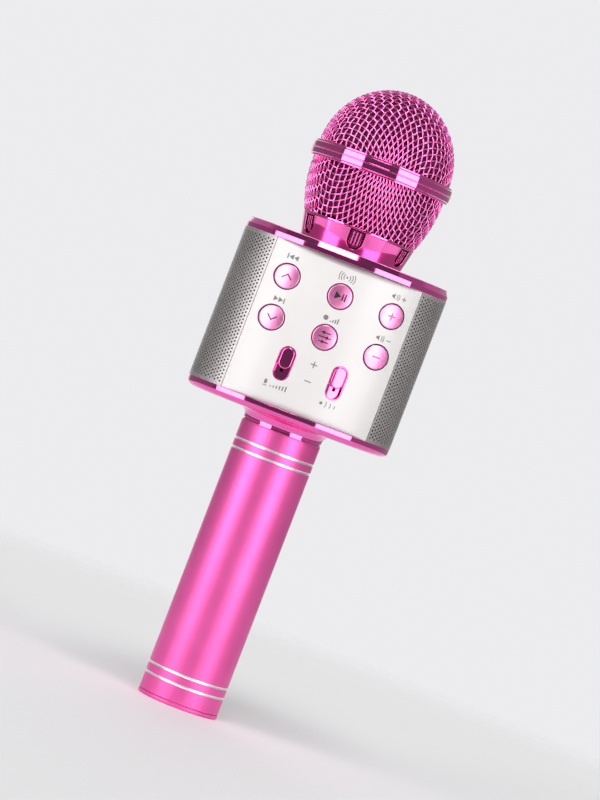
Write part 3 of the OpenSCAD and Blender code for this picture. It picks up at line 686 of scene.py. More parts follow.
CAD_FINISH = {
    nickel: ("battery_spring", "left_speaker_basket", "right_speaker_basket", "usb_socket", "charge_socket",
             "card_slot", "power_switch_body", "mic_capsule", "rear_screws", "board_screws", "speaker_screws",
             "neck_screws"),
    ferrite: ("left_speaker_magnet", "right_speaker_magnet"),
    brass: ("battery_contact",),
    black_plastic: ("battery_sleeve", "left_baffle", "right_baffle", "tact_switches", "audio_jack",
                    "left_slider_pot", "right_slider_pot", "power_switch_knob", "capsule_post"),
    clear_plastic: ("indicator_light",),
    rubber: ("capsule_cradle",),
    paper: ("left_speaker_cone", "right_speaker_cone"),
    cell_wrap: ("battery_cell",),
    lead_red: ("battery_lead", "capsule_lead"),
    cloth: ("left_dust_cloth", "right_dust_cloth"),
    board: ("main_board", "port_board"),
}
for material, names in CAD_FINISH.items():
    for name in names:
        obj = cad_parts[name]
        for spot in obj.material_slots:
            spot.material = material
        if not obj.material_slots:
            obj.data.materials.append(material)

# ---------- handle ----------

ring_w = 1.0
ring_depth = 0.35
ring_heights = (8.4, 12.3, handle_top - 11.1, handle_top - 7.5)
ROUND_STEPS = 192


def handle():
    thread_r = 13.1
    thread_top = tube_bottom + 6.2
    run_out = 1.5
    flat = ring_w * 0.14
    cut_r = handle_r - ring_depth
    corners = on_circles((thread_r, tube_bottom, 0), (handle_r, tube_bottom, 0.3))
    for z in ring_heights:
        corners += on_circles((handle_r, z - ring_w / 2, 0, 1), (cut_r, z - flat, 0.1, 1),
                              (cut_r, z + flat, 0.1, 1), (handle_r, z + ring_w / 2, 0))
    corners += on_circles((handle_r, handle_top, 0.3), (tube_bore_r, handle_top, 0),
                          (tube_bore_r, thread_top + run_out, 0), (thread_r, thread_top, 0))
    return swept_piece(corners, ROUND_STEPS, "handle_sleeve", [satin_pink, ring_silver], "housing",
                       "satin_pink", "handle_tube")


def tail_cap():
    """A turned cap with two spanner holes in its face."""
    flange_h = 1.6
    edge = 1.2
    plug_r = 13.04
    plug_top = cap_high.z
    floor_z = 2.6
    hole_x = 8.0
    hole_r = 1.2
    hole_depth = 1.0
    face_r = handle_r - edge
    thread_cut = 0.35
    thread_start = flange_h + 1.4
    thread_step = 1.6
    plug_wall = 1.6
    web = 0.2
    corners = on_circles((face_r, 0, 0), (handle_r, 0, edge), (handle_r, flange_h, 0.1),
                         (plug_r, flange_h, 0))
    for k in range(3):
        z = thread_start + thread_step * k
        corners += on_circles((plug_r, z - thread_cut, 0), (plug_r - thread_cut, z, 0),
                              (plug_r, z + thread_cut, 0))
    corners += on_circles((plug_r, plug_top, 0.2), (plug_r - plug_wall, plug_top, 0.2),
                          (plug_r - plug_wall, floor_z, 0), (0, floor_z, 0), (0, hole_depth + web, 0),
                          (face_r, hole_depth + web, 0))
    skin = Skin()
    sweep(skin, corners, ROUND_STEPS)
    turns = [2 * math.pi * (k + 0.5) / ROUND_STEPS for k in range(ROUND_STEPS)]
    rim = [circle_point(turn, face_r)[0] for turn in turns]
    holes = [loop_circle(side * hole_x, 0, hole_r)(0) for side in (-1, 1)]
    down = Vector((0, 0, -1))
    flat, faces = triangles([rim] + holes)
    for f in faces:
        skin.face([skin.point((flat[k].x, flat[k].y, 0)) for k in f], down)
    for hole in holes:
        middle = sum(hole, Vector((0, 0))) / len(hole)
        for k, p in enumerate(hole):
            q = hole[(k + 1) % len(hole)]
            ways = [Vector((middle.x - v.x, middle.y - v.y, 0)).normalized() for v in (p, q)]
            ids = [skin.point((v.x, v.y, z)) for z in (0, hole_depth) for v in (p, q)]
            skin.face([ids[0], ids[1], ids[3], ids[2]], [ways[0], ways[1], ways[1], ways[0]])
            skin.face([ids[2], ids[3], skin.point((middle.x, middle.y, hole_depth))], down)
    return finish_piece(skin.build("tail_cap_turned", [satin_pink]), "tail_cap", "satin_pink", "tail_cap")


handle()
tail_cap()

# ---------- speaker box ----------

OUTLINE_STEPS = 288
BEVEL_STEPS = 8


def bevel_corners(full_z, small_z, inset):
    """Points of a rim's curved bevel, from the drawn-in outline to the full one."""
    steps = [math.sin(math.pi / 2 * k / BEVEL_STEPS) for k in range(BEVEL_STEPS, -1, -1)]
    points = []
    for s in steps:
        drawn_in = inset * (1 - math.sqrt(1 - s * s))
        points.append((outline_point, -drawn_in, full_z + (small_z - full_z) * s, "smooth"))
    points[0] = (*points[0][:3], 0)
    return points


def lower_shell():
    """The spigot in the handle, the flared collar and the rim plate under the box."""
    spigot_bottom = handle_top - 12.9
    spigot_r = tube_bore_r - 0.05
    flare = 3.5
    groove_z = handle_top + 0.5
    groove_r = handle_r - 0.35
    floor_top = box_bottom + 2.4
    corners = on_circles((wire_bore_r, spigot_bottom, 0), (spigot_r, spigot_bottom, 0),
                         (spigot_r, handle_top, 0), (handle_r, handle_top, 0.12),
                         (handle_r, groove_z, 0.08), (groove_r, groove_z + 0.08, 0),
                         (groove_r, groove_z + 0.45, 0), (handle_r, groove_z + 0.53, 0.08))
    for k in range(BEVEL_STEPS + 1):
        a = math.radians(180 - 90 * k / BEVEL_STEPS)
        edge = 0 if k == BEVEL_STEPS else "smooth"
        r = handle_r + flare * (1 + math.cos(a))
        corners += on_circles((r, box_bottom - flare * (1 - math.sin(a)), edge))
    corners += bevel_corners(box_bottom + lower_bevel_h, box_bottom, lower_bevel_inset)
    corners += [(outline_point, 0, panel_bottom, 0.18), (outline_point, -rim_wall, panel_bottom, 0),
                (outline_point, -rim_wall, floor_top, 0), (circle_point, wire_bore_r, floor_top, 0)]
    return swept_piece(corners, OUTLINE_STEPS, "lower_box_rim", [chrome_pink], "housing", "chrome_pink",
                       "lower_shell")


def upper_shell():
    """The rim plate over the box, with a flat chamfer."""
    chamfer_h = 2.2
    chamfer_inset = 1.2
    ceiling = box_top - 2.1
    # slot 1, the top face, takes the lighter pink as painted light
    corners = [(circle_point, wire_bore_r, ceiling, 0), (outline_point, -rim_wall, ceiling, 0),
               (outline_point, -rim_wall, panel_top, 0), (outline_point, 0, panel_top, 0.18),
               (outline_point, 0, box_top - chamfer_h, 0.15),
               (outline_point, -chamfer_inset, box_top, 0.15, 1), (circle_point, wire_bore_r, box_top, 0)]
    return swept_piece(corners, OUTLINE_STEPS, "upper_box_rim", [chrome_pink, top_face_painted_light], "housing",
                       "chrome_pink", "upper_shell")


lower_shell()
upper_shell()

panel_face = Surface(0)
panel_back = Surface(-panel_t)
panel_mid = (panel_bottom + panel_top) / 2
panel_loop = loop_round(0, panel_mid, 2 * panel_half_w, panel_top - panel_bottom, 0.3, 3)
post_x = 24.0
post_heights = (panel_bottom + 4.6, panel_top - 4.2)
post_end = 18.0

wells = {side: middle_of(side + "_slider_well") for side in ("left", "right")}
well_w, well_h = 6.2, 13.3
buttons = {name: middle_of(name + "_button") for name in button_names}
well_gap = 0.1
boss_r, boss_bore_r = 2.6, 1.15
pilot_r = 0.9
board_posts = ((18.5, panel_bottom + 13.4), (10.5, panel_bottom + 48.4))
board_post_r = 2.2
board_seat = -17.7


def boss_root(x):
    """Where a screw boss starts, inside the thickness of its panel."""
    return -outline_y(x, -1.5)[0]


def front_panel():
    holes = [loop_circle(p.x, p.z, button_r + button_gap, 14) for p in buttons.values()]
    for p in wells.values():
        w, h = well_w + well_gap, well_h + well_gap
        holes.append(loop_round(p.x, p.z, w, h, w / 2, 12))
    skin = Skin()
    # the holes' walls take the black plastic as painted shade in the gaps round the buttons and sliders
    plate(skin, panel_loop, holes, panel_face, panel_back, lip=0.12, hole_lip=0.12, inner_slot=1)
    for x in (-post_x, post_x):
        for z in post_heights:
            tube_y(skin, x, z, boss_r, boss_bore_r, boss_root(x), post_end)
    for x, z in board_posts:
        for side in (-1, 1):
            tube_y(skin, side * x, z, board_post_r, pilot_r, boss_root(x), board_seat)
    return finish_piece(skin.build("front_control_panel", [panel_white, black_plastic]), "housing",
                        "panel_white", "front_panel")


def port_loop(node, w, h, r, steps=6):
    """An opening for a rear node; the rear panel is made facing forward and then turned half round."""
    p = middle_of(node)
    return loop_round(-p.x, p.z, w, h, r, steps)


def rear_panel():
    jack = middle_of("audio_jack")
    switch_low, switch_high = corners_of("power_switch_body")
    light = middle_of("indicator_light")
    screw_head_r = 2.4
    holes = [port_loop("usb_socket", 13.6, 6.2, 0.5), port_loop("card_slot", 12.8, 2.4, 0.4),
             loop_circle(-jack.x, jack.z, 3.1, 8), port_loop("charge_socket", 9.4, 3.7, 1.85, 8),
             loop_circle(-light.x, light.z, 1.1, 6),
             loop_round(0, (switch_low.z + switch_high.z) / 2, 7, 4.2, 0.4, 4)]
    holes += [loop_circle(x, z, screw_head_r, 8) for x in (-post_x, post_x) for z in post_heights]
    skin = Skin()
    skin.place = turned(180)
    plate(skin, panel_loop, holes, panel_face, panel_back, lip=0.12, hole_lip=0.15)
    sleeve_r = 3.0
    shank_r = 1.4
    head_seat = -20.5
    for x in (-post_x, post_x):
        for z in post_heights:
            tube_y(skin, x, z, sleeve_r, screw_head_r, boss_root(x), head_seat)
            tube_y(skin, x, z, sleeve_r, shank_r, head_seat, -post_end - 0.1)
    port_post_x, port_post_z = 12.5, panel_bottom + 33.4
    port_post_r = 2.0
    port_board_seat = -13.4
    for x in (-port_post_x, port_post_x):
        tube_y(skin, x, port_post_z, port_post_r, pilot_r, boss_root(x), port_board_seat)
    return finish_piece(skin.build("rear_socket_panel", [panel_white]), "housing", "panel_white",
                        "rear_panel")


front_panel()
rear_panel()

# ---------- perforated speaker sheets ----------

HOLE_R = 0.375
HOLE_SIDES = 12
PITCH_UP = 1.45
PITCH_ROUND = PITCH_UP * math.cos(math.radians(30))
SHEET_T = 0.8
SHEET_GROW = -0.15
SIDE_BORDERS = 0.9
END_BORDERS = 1.6


def sheet_walk():
    """Points along the sheet's outer face from the front edge to the rear one, and their distances."""
    edge_x = panel_half_w + 0.15
    fine = 4000
    path = []
    for k in range(fine + 1):
        p, way = outline_point(-math.pi / 2 + math.pi * k / fine, SHEET_GROW)
        if p.x >= edge_x:
            path.append((p, way))
    lengths = [0.0]
    for (a, _), (b, _) in zip(path, path[1:]):
        lengths.append(lengths[-1] + (b - a).length)
    return path, lengths


def sheet_at(walk, s):
    path, lengths = walk
    low, t = place_along(lengths, s)
    (p, way), (q, next_way) = path[low], path[low + 1]
    return p.lerp(q, t), way.lerp(next_way, t).normalized()


def speaker_sheet(side_name, mirror):
    """A thin curved sheet with a staggered field of real holes and a plain border."""
    walk = sheet_walk()
    length = walk[1][-1]
    height = panel_top - panel_bottom
    columns = int((length - SIDE_BORDERS) / PITCH_ROUND)
    rows = int((height - END_BORDERS) / PITCH_UP)
    left = (length - columns * PITCH_ROUND) / 2
    bottom = panel_bottom + (height - rows * PITCH_UP) / 2
    half_w, half_h = PITCH_ROUND / 2, PITCH_UP / 2
    skin = Skin()
    skin.place = Matrix.Scale(-1, 4, (1, 0, 0)) if mirror else Matrix.Identity(4)
    cache = {}

    def spot(s, z, inner):
        key = (round(s, 5), round(z, 5), inner)
        if key not in cache:
            p, way = sheet_at(walk, s)
            if inner:
                p = p - way * SHEET_T
            out = Vector((way.x, way.y, 0))
            cache[key] = (skin.point((p.x, p.y, z)), -out if inner else out)
        return cache[key]

    def both(points):
        for inner in (False, True):
            made = [spot(s, z, inner) for s, z in points]
            skin.face([v for v, _ in made], [n for _, n in made])

    ring = [(math.cos(2 * math.pi * k / HOLE_SIDES), math.sin(2 * math.pi * k / HOLE_SIDES))
            for k in range(HOLE_SIDES)]
    # the cell's border points, each with the hole's point that it faces
    border = (((1, 0), 0), ((1, 1), 2), ((-1, 1), 4), ((-1, 0), 6), ((-1, -1), 8), ((1, -1), 10))
    for i in range(columns):
        s = left + (i + 0.5) * PITCH_ROUND
        shift = half_h if i % 2 else 0
        count = rows - (1 if i % 2 else 0)
        tangent_a = sheet_at(walk, s - 0.1)[0]
        tangent = (sheet_at(walk, s + 0.1)[0] - tangent_a).normalized()
        for j in range(count):
            z = bottom + shift + (j + 0.5) * PITCH_UP
            hole = [(s + HOLE_R * c, z + HOLE_R * d) for c, d in ring]
            for k, ((du, dv), first) in enumerate(border):
                (eu, ev), last = border[(k + 1) % len(border)]
                last = last if last > first else last + HOLE_SIDES
                arc = [hole[m % HOLE_SIDES] for m in range(last, first - 1, -1)]
                both([(s + du * half_w, z + dv * half_h), (s + eu * half_w, z + ev * half_h)] + arc)
            for k in range(HOLE_SIDES):
                m = (k + 1) % HOLE_SIDES
                ids = [spot(*hole[k], False)[0], spot(*hole[m], False)[0],
                       spot(*hole[m], True)[0], spot(*hole[k], True)[0]]
                ways = []
                for c, d in (ring[k], ring[m], ring[m], ring[k]):
                    ways.append(Vector((-tangent.x * c, -tangent.y * c, -d)))
                skin.face(ids, ways)
        if i % 2:
            for z in (bottom, bottom + rows * PITCH_UP - half_h):
                both([(s - half_w, z), (s + half_w, z), (s + half_w, z + half_h), (s - half_w, z + half_h)])
    top = bottom + rows * PITCH_UP
    stops = [0, left] + [left + (i + 1) * PITCH_ROUND for i in range(columns)] + [length]
    for a, b in zip(stops, stops[1:]):
        for low, high in ((panel_bottom, bottom), (top, panel_top)):
            both([(a, low), (b, low), (b, high), (a, high)])
    levels = [bottom + k * half_h for k in range(2 * rows + 1)]
    for low, high in zip(levels, levels[1:]):
        for a, b in ((0, left), (length - left, length)):
            both([(a, low), (b, low), (b, high), (a, high)])

    def edge(points, way):
        for (s0, z0), (s1, z1) in zip(points, points[1:]):
            skin.face([spot(s0, z0, False)[0], spot(s1, z1, False)[0],
                       spot(s1, z1, True)[0], spot(s0, z0, True)[0]], way)

    edge([(s, panel_bottom) for s in stops], Vector((0, 0, -1)))
    edge([(s, panel_top) for s in stops], Vector((0, 0, 1)))
    uprights = [panel_bottom] + levels + [panel_top]
    edge([(0, z) for z in uprights], Vector((-1, 0, 0)))
    edge([(length, z) for z in uprights], Vector((-1, 0, 0)))
    obj = skin.build(side_name + "_perforated_sheet", [sheet_silver])
    return finish_piece(obj, "housing", "sheet_silver", side_name + "_speaker_mesh")


speaker_sheet("left", True)
speaker_sheet("right", False)

# ---------- buttons ----------

CAP_DOME_R = 30.0
ICON_DEPTH = 0.14
STROKE = 0.5


def bar(x, z, w, h):
    left, right, low, high = x - w / 2, x + w / 2, z - h / 2, z + h / 2
    return loop_fixed([(left, low), (right, low), (right, high), (left, high)])


def chevron(x, z, w, h, up):
    """An open arrow head: w wide, h tall."""
    t = STROKE * 1.25
    rise = h if up else -h
    thick = t if up else -t
    left, right, foot, tip = x - w / 2, x + w / 2, z - rise / 2, z + rise / 2
    return loop_fixed([(left, foot), (x, tip), (right, foot), (right, foot - thick), (x, tip - thick),
                       (left, foot - thick)])


def triangle(x, z, w, h):
    return loop_fixed([(x - w / 2, z - h / 2), (x + w / 2, z), (x - w / 2, z + h / 2)])


def plus_sign(x, z, size, stroke=STROKE):
    a, b = stroke / 2, size / 2
    return loop_fixed([(x + u, z + v) for u, v in
                       ((a, a), (a, b), (-a, b), (-a, a), (-b, a), (-b, -a), (-a, -a), (-a, -b), (a, -b),
                        (a, -a), (b, -a), (b, a))])


def fader(x, z, w, knob_x):
    """A bar with a diamond knob on it, for a sound-effect control."""
    t, k = STROKE * 0.4, 0.7
    left, right, c = x - w / 2, x + w / 2, x + knob_x
    return loop_fixed([(left, z - t), (c - k + t, z - t), (c, z - k), (c + k - t, z - t), (right, z - t),
                       (right, z + t), (c + k - t, z + t), (c, z + k), (c - k + t, z + t), (left, z + t)])


def icon_loops(name, x, z):
    return {
        "previous": [chevron(x, z + 0.3, 3.7, 1.75, True)],
        "next": [chevron(x, z - 0.3, 3.7, 1.75, False)],
        "play": [triangle(x - 0.9, z, 2.4, 3.0), bar(x + 1.0, z, STROKE, 2.8),
                 bar(x + 2.05, z, STROKE, 2.8)],
        "mode": [fader(x, z + 1.75, 3.8, -0.8), fader(x, z, 4.8, 0.9), fader(x, z - 1.75, 3.8, -0.4)],
        "plus": [plus_sign(x, z, 3.0)],
        "minus": [bar(x, z, 3.0, STROKE)],
    }[name]


def button(name):
    """A domed cap with its icon sunk in, its flange behind the panel and its stem."""
    high = corners_of(name + "_button")[1]
    p = buttons[name]
    flange_front = -26.9 if name in ("play", "mode") else -20.5
    flange_back = flange_front + 0.6
    flange_r, stem_r = 5.5, 1.3
    skin = Skin()
    pockets = [(loop, ICON_DEPTH) for loop in icon_loops(name, p.x, p.z)]
    plate(skin, loop_circle(p.x, p.z, button_r, 14), [], Domed(cap_proud, p.x, p.z, CAP_DOME_R),
          Flat(flange_front), lip=0.45, pockets=pockets, step=0.8, inner_slot=1)
    tube_y(skin, p.x, p.z, flange_r, 0, flange_front, flange_back)
    tube_y(skin, p.x, p.z, stem_r, 0, flange_back, high.y)
    # the icons' floors are painted shade, a muted rose on plus and minus and near black elsewhere
    icon = icon_painted_shade_rose if name in ("plus", "minus") else icon_painted_shade
    obj = skin.build(name + "_button_cap", [button_pink, icon])
    return finish_piece(obj, name + "_button", "chrome_pink", name + "_button")


for name in button_names:
    button(name)

# ---------- sliders ----------


def slider(side):
    """A well with a curved floor and a slot, and the knob that rides in it."""
    p = wells[side]
    floor = Surface(-1.7)
    rim = 0.35
    inner_w, inner_h = well_w - 2 * rim, well_h - 2 * rim
    slot_w, slot_h = 1.2, 6.6
    skin = Skin()
    outer = loop_round(p.x, p.z, well_w, well_h, well_w / 2, 12)
    inner = loop_round(p.x, p.z, inner_w, inner_h, inner_w / 2, 12)
    slot = loop_round(p.x, p.z, slot_w, slot_h, 0.1, 12)
    back = Flat(well_high.y)
    lip = 0.1
    fill(skin, [outer(-lip), inner(lip)], panel_face, 2.0)
    fill(skin, [inner(0), slot(0)], floor, 0.6)
    fill(skin, [outer(0), slot(0)], back, 2.0, -1)
    outer_back, inner_deep, slot_back = ([skin.point(face.at(p.x, p.y)[0]) for p in loop(0)]
                                         for loop, face in ((outer, back), (inner, floor), (slot, back)))
    walls(skin, lip_rows(skin, outer, panel_face, lip, 1), outer_back)
    walls(skin, lip_rows(skin, inner, panel_face, lip, -1), inner_deep)
    # the slot's walls are black as painted shade down the slot
    walls(skin, straight_row(skin, slot, floor, -1), slot_back, True, 1)
    finish_piece(skin.build(side + "_slider_cup", [chrome_pink, black_plastic]), "housing", "chrome_pink",
                 side + "_slider_well")

    knob = middle_of(side + "_slider_knob")
    knob_w, knob_h = 5.0, 8.2
    stem_w, stem_h = 1.0, 1.8
    knob_back = Surface(-1.55)
    skin = Skin()
    plate(skin, loop_round(knob.x, knob.z, knob_w, knob_h, knob_w / 2, 12), [], Surface(0.8), knob_back,
          lip=0.5, step=0.9)
    plate(skin, loop_round(knob.x, knob.z, stem_w, stem_h, 0.1, 3), [], knob_back, Flat(knob_high.y), lip=0)
    finish_piece(skin.build(side + "_slider_thumb", [chrome_pink]), side + "_slider", "chrome_pink",
                 side + "_slider_knob")


slider("left")
slider("right")

# ---------- printed marks ----------

MARK_PROUD = 0.02
MARK_DEPTH = 0.04
MARK_SCALE = 1.22


def speaker_sign(x, z):
    """A loudspeaker seen from the side, about 1.4 mm wide."""
    return loop_fixed([(x - 0.7, z - 0.35), (x - 0.3, z - 0.35), (x + 0.3, z - 0.85), (x + 0.3, z + 0.85),
                       (x - 0.3, z + 0.35), (x - 0.7, z + 0.35)])


def arc_sign(x, z, r, half_turn, side=1, stroke=0.26):
    """A short arc of a circle that bulges to one side."""
    steps = 8
    turns = [math.radians(half_turn) * (2 * k / steps - 1) for k in range(steps + 1)]
    outer = [(x + side * (r + stroke / 2) * math.cos(t), z + (r + stroke / 2) * math.sin(t)) for t in turns]
    inner = [(x + side * (r - stroke / 2) * math.cos(t), z + (r - stroke / 2) * math.sin(t)) for t in turns]
    return loop_fixed(outer + inner[::-1])


def skip_sign(x, z, side):
    """Two arrow heads and a bar, for the track before or after."""
    heads = []
    for k in (-1, 0):
        tip = x + side * (0.95 + 1.5 * k + 0.55)
        heads.append(loop_fixed([(tip, z), (tip - side * 1.4, z - 0.85), (tip - side * 1.4, z + 0.85)]))
    return heads + [bar(x + side * 1.85, z, 0.34, 1.7)]


def mic_sign(x, z):
    return [loop_round(x, z + 0.25, 0.9, 1.5, 0.45, 4), bar(x, z - 0.95, 1.2, 0.26)]


def level_signs(x, z, count, pitch):
    """Bars that grow taller to the right."""
    foot = z - 0.85
    heights = [0.4 + 1.3 * k / (count - 1) for k in range(count)]
    return [bar(x + k * pitch, foot + h / 2, 0.4, h) for k, h in enumerate(heights)]


def larger(loops, x, z):
    """The same signs, grown about a point by MARK_SCALE."""
    middle = Vector((x, z))
    return [lambda grow, loop=loop: [middle + (p - middle) * MARK_SCALE for p in loop(grow)]
            for loop in loops]


def printed_marks(name, loops, turn=0):
    """Thin ink just proud of the front panel, or turned half round onto the rear one."""
    skin = Skin()
    skin.place = turned(turn)
    for loop in loops:
        plate(skin, loop, [], Surface(MARK_PROUD), Surface(-MARK_DEPTH), lip=0, step=0.9)
    return finish_piece(skin.build(name, [ink_grey]), "housing", "panel_white")


upper_label_z = panel_bottom + 54.7
lower_label_z = panel_bottom + 38.1
slider_label_z = panel_bottom + 7.6
left_x, right_x = buttons["previous"].x, buttons["plus"].x

marks = []
for z, side in ((upper_label_z, -1), (lower_label_z, 1)):
    marks += larger(skip_sign(left_x, z, side), left_x, z)

broadcast = [loop_circle(0, upper_label_z, 0.32, 4)]
for side in (-1, 1):
    for r, turn in ((1.05, 48), (1.8, 40), (2.55, 32)):
        broadcast.append(arc_sign(0, upper_label_z, r, turn, side))
marks += larger(broadcast, 0, upper_label_z)
recording = [loop_circle(-1.8, lower_label_z, 0.8, 5)] + level_signs(-0.1, lower_label_z, 4, 0.75)
marks += larger(recording, 0, lower_label_z)

for z, last in ((upper_label_z, plus_sign(right_x + 1.9, upper_label_z, 1.4, 0.3)),
                (lower_label_z, bar(right_x + 1.9, lower_label_z, 1.4, 0.3))):
    loudness = [speaker_sign(right_x - 1.5, z), arc_sign(right_x - 1.3, z, 0.95, 45),
                arc_sign(right_x - 1.3, z, 1.6, 40), last]
    marks += larger(loudness, right_x, z)

voice_x, echo_x = wells["left"].x, wells["right"].x
voice = mic_sign(voice_x - 3.4, slider_label_z) + level_signs(voice_x - 1.6, slider_label_z, 6, 0.95)
marks += larger(voice, voice_x, slider_label_z)
echo = [loop_circle(echo_x - 2.4, slider_label_z, 0.5, 4)]
echo += [arc_sign(echo_x - 2.2 + 1.7 * k, slider_label_z, 1.5 - 0.3 * k, 38) for k in range(3)]
marks += larger(echo, echo_x, slider_label_z)
marks += [plus_sign(0, panel_bottom + 19.9, 2.6, 0.4), bar(0, panel_bottom + 13.3, 2.6, 0.4)]
printed_marks("front_printed_marks", marks)

jack = middle_of("audio_jack")
charge = middle_of("charge_socket")
switch_z = middle_of("power_switch_body").z
MARK_DROP = 5.4
ear_r = 1.1
rear_marks = [arc_sign(-jack.x, jack.z - MARK_DROP, ear_r, 88, side, 0.3) for side in (1, -1)]
rear_marks += [bar(-jack.x + side * ear_r, jack.z - MARK_DROP - 0.5, 0.6, 1.1) for side in (-1, 1)]
bolt_x, bolt_z = -charge.x, charge.z - MARK_DROP
rear_marks += [loop_fixed([(bolt_x + u, bolt_z + v) for u, v in
                           ((0.3, 1.2), (-0.8, -0.2), (-0.1, -0.2), (-0.3, -1.2), (0.8, 0.2), (0.1, 0.2))])]
rear_marks += [loop_circle(-6.6, switch_z, 0.5, 4), bar(6.6, switch_z, 0.34, 1.6)]
printed_marks("rear_printed_marks", rear_marks, 180)

# ---------- neck ----------

clip_turn = -4.5
clip_count = 6
clip_seat = 19.6
pocket_w = 6.2
clip_w = 4.7
pocket_bottom = box_top + 1.5
neck_bore_r = 17.5
neck_mid_r = 21
POCKET_EDGE = 0.15


def neck_r(z):
    return neck_bottom_r + (neck_top_r - neck_bottom_r) * (z - box_top) / (neck_top - box_top)


class NeckCone:
    """The neck's outer face seen along Y, drawn in by a distance."""

    def __init__(self, inset):
        self.inset = inset
        self.up = (neck_bottom_r - neck_top_r) / (neck_top - box_top)

    def at(self, x, z, depth=0):
        r = neck_r(z) - self.inset
        y = math.sqrt(max(0, r * r - x * x))
        return Vector((x, -y + depth, z)), Vector((x / r, -y / r, self.up)).normalized()


class Barrel:
    """An upright round face seen along Y."""

    def __init__(self, r):
        self.r = r

    def at(self, x, z, depth=0):
        y = math.sqrt(self.r * self.r - x * x)
        return Vector((x, -y + depth, z)), Vector((x / self.r, -y / self.r, 0))


def u_loop(w, bottom, top, steps=12):
    """A U shape, open side up and closed by a straight top."""
    def grown(grow):
        r = w / 2 + grow
        points = [Vector((r, top))]
        for k in range(2 * steps + 1):
            a = -math.pi * k / (2 * steps)
            points.append(Vector((r * math.cos(a), bottom + w / 2 + r * math.sin(a))))
        points.append(Vector((-r, top)))
        return points[::-1]
    return grown


UNROLL = 20


def neck_sector(skin):
    """One sixth of the neck's outer face, with its clip pocket in the middle.

    The face is filled flat, as (turn, height over UNROLL), and then rolled up.
    """
    edge_turn = math.pi / clip_count
    top = neck_top - 0.15
    cone = NeckCone(0)

    def on_cone(turn, z):
        r = neck_r(z)
        co = Vector((r * math.sin(turn), -r * math.cos(turn), z))
        return skin.point(co), Vector((math.sin(turn), -math.cos(turn), cone.up)).normalized()

    def unrolled(p):
        return Vector((math.asin(max(-1, min(1, p.x / neck_r(p.y)))), p.y / UNROLL))

    columns, rows = 12, 4
    heights = [(box_top + (top - box_top) * k / rows) / UNROLL for k in range(rows + 1)]
    turns = [-edge_turn + 2 * edge_turn * k / columns for k in range(1, columns)]
    notch_flat = [unrolled(p) for p in u_loop(pocket_w, pocket_bottom, top)(POCKET_EDGE)]
    left_edge = [Vector((-edge_turn, height)) for height in heights[::-1]]
    base = [Vector((turn, heights[0])) for turn in turns]
    right_edge = [Vector((edge_turn, p.y)) for p in left_edge[::-1]]
    span = notch_flat[-1].x
    top_right = [Vector((edge_turn + (span - edge_turn) * k / 3, heights[-1])) for k in range(1, 3)]
    top_left = [Vector((-span + (-edge_turn + span) * k / 3, heights[-1])) for k in range(1, 3)]
    outline = left_edge + base + right_edge + top_right + notch_flat[::-1] + top_left
    reach = pocket_w / 2 + 0.6
    grid = [Vector((turn, height)) for turn in turns for height in heights[1:-1]
            if abs(math.sin(turn)) * neck_mid_r > reach or height * UNROLL < pocket_bottom - 0.4]
    flat, faces = triangles([outline], grid)
    made = [on_cone(p.x, p.y * UNROLL) for p in flat]
    for f in faces:
        skin.face([made[k][0] for k in f], [made[k][1] for k in f])

    # the pocket's softened edge, and its walls and seat in dark painted shade
    loop = u_loop(pocket_w, pocket_bottom, neck_top)
    outer, inner = loop(POCKET_EDGE), loop(0)
    outer[0].y = outer[-1].y = top
    count = len(inner)
    away = []
    for k in range(count):
        a, b = inner[max(0, k - 1)], inner[min(count - 1, k + 1)]
        away.append(Vector((-(b - a).y, 0, (b - a).x)).normalized())
    for k in range(count - 1):
        ids, ways = [], []
        for m, row, depth, tilt in ((k, outer, 0, 0.35), (k, inner, POCKET_EDGE, 1),
                                    (k + 1, inner, POCKET_EDGE, 1), (k + 1, outer, 0, 0.35)):
            co, out = cone.at(row[m].x, row[m].y, depth)
            ids.append(skin.point(co))
            ways.append((out * (1 - tilt * 0.75) + away[m] * tilt).normalized())
        skin.face(ids, ways)
        front = [cone.at(p.x, p.y, POCKET_EDGE)[0] for p in (inner[k], inner[k + 1])]
        back = [Vector((p.x, -clip_seat, p.y)) for p in (inner[k], inner[k + 1])]
        skin.face([skin.point(co) for co in (front[0], back[0], back[1], front[1])],
                  [away[k], away[k], away[k + 1], away[k + 1]], 1)
    skin.face([skin.point((p.x, -clip_seat, p.y)) for p in inner], Vector((0, -1, 0)), 1)

    # the flat top, with the pocket's open end
    bore = [Vector((neck_bore_r * math.sin(t), -neck_bore_r * math.cos(t)))
            for t in [edge_turn * (1 - 2 * k / 8) for k in range(9)]]
    rim_r = neck_top_r - 0.2
    first = math.asin(pocket_w / 2 / rim_r)
    spans = [first + (edge_turn - first) * k / 3 for k in range(4)]
    right = [Vector((rim_r * math.sin(t), -rim_r * math.cos(t))) for t in spans]
    left = [Vector((-p.x, p.y)) for p in right]
    notch_top = [Vector((pocket_w / 2, -clip_seat)), Vector((-pocket_w / 2, -clip_seat))]
    shape = bore + left[::-1] + notch_top[::-1] + right
    flat, faces = triangles([shape])
    for f in faces:
        skin.face([skin.point((flat[k].x, flat[k].y, neck_top)) for k in f], Vector((0, 0, 1)))
    edge_top = [span + (edge_turn - span) * k / 3 for k in range(4)]
    for side in (-1, 1):
        for k in range(3):
            low = [on_cone(side * edge_top[m], top)[0] for m in (k, k + 1)]
            high = [skin.point((side * right[m].x, right[m].y, neck_top)) for m in (k, k + 1)]
            way = Vector((math.sin(side * spans[k]), -math.cos(spans[k]), 0.7)).normalized()
            skin.face([low[0], low[1], high[1], high[0]], way)


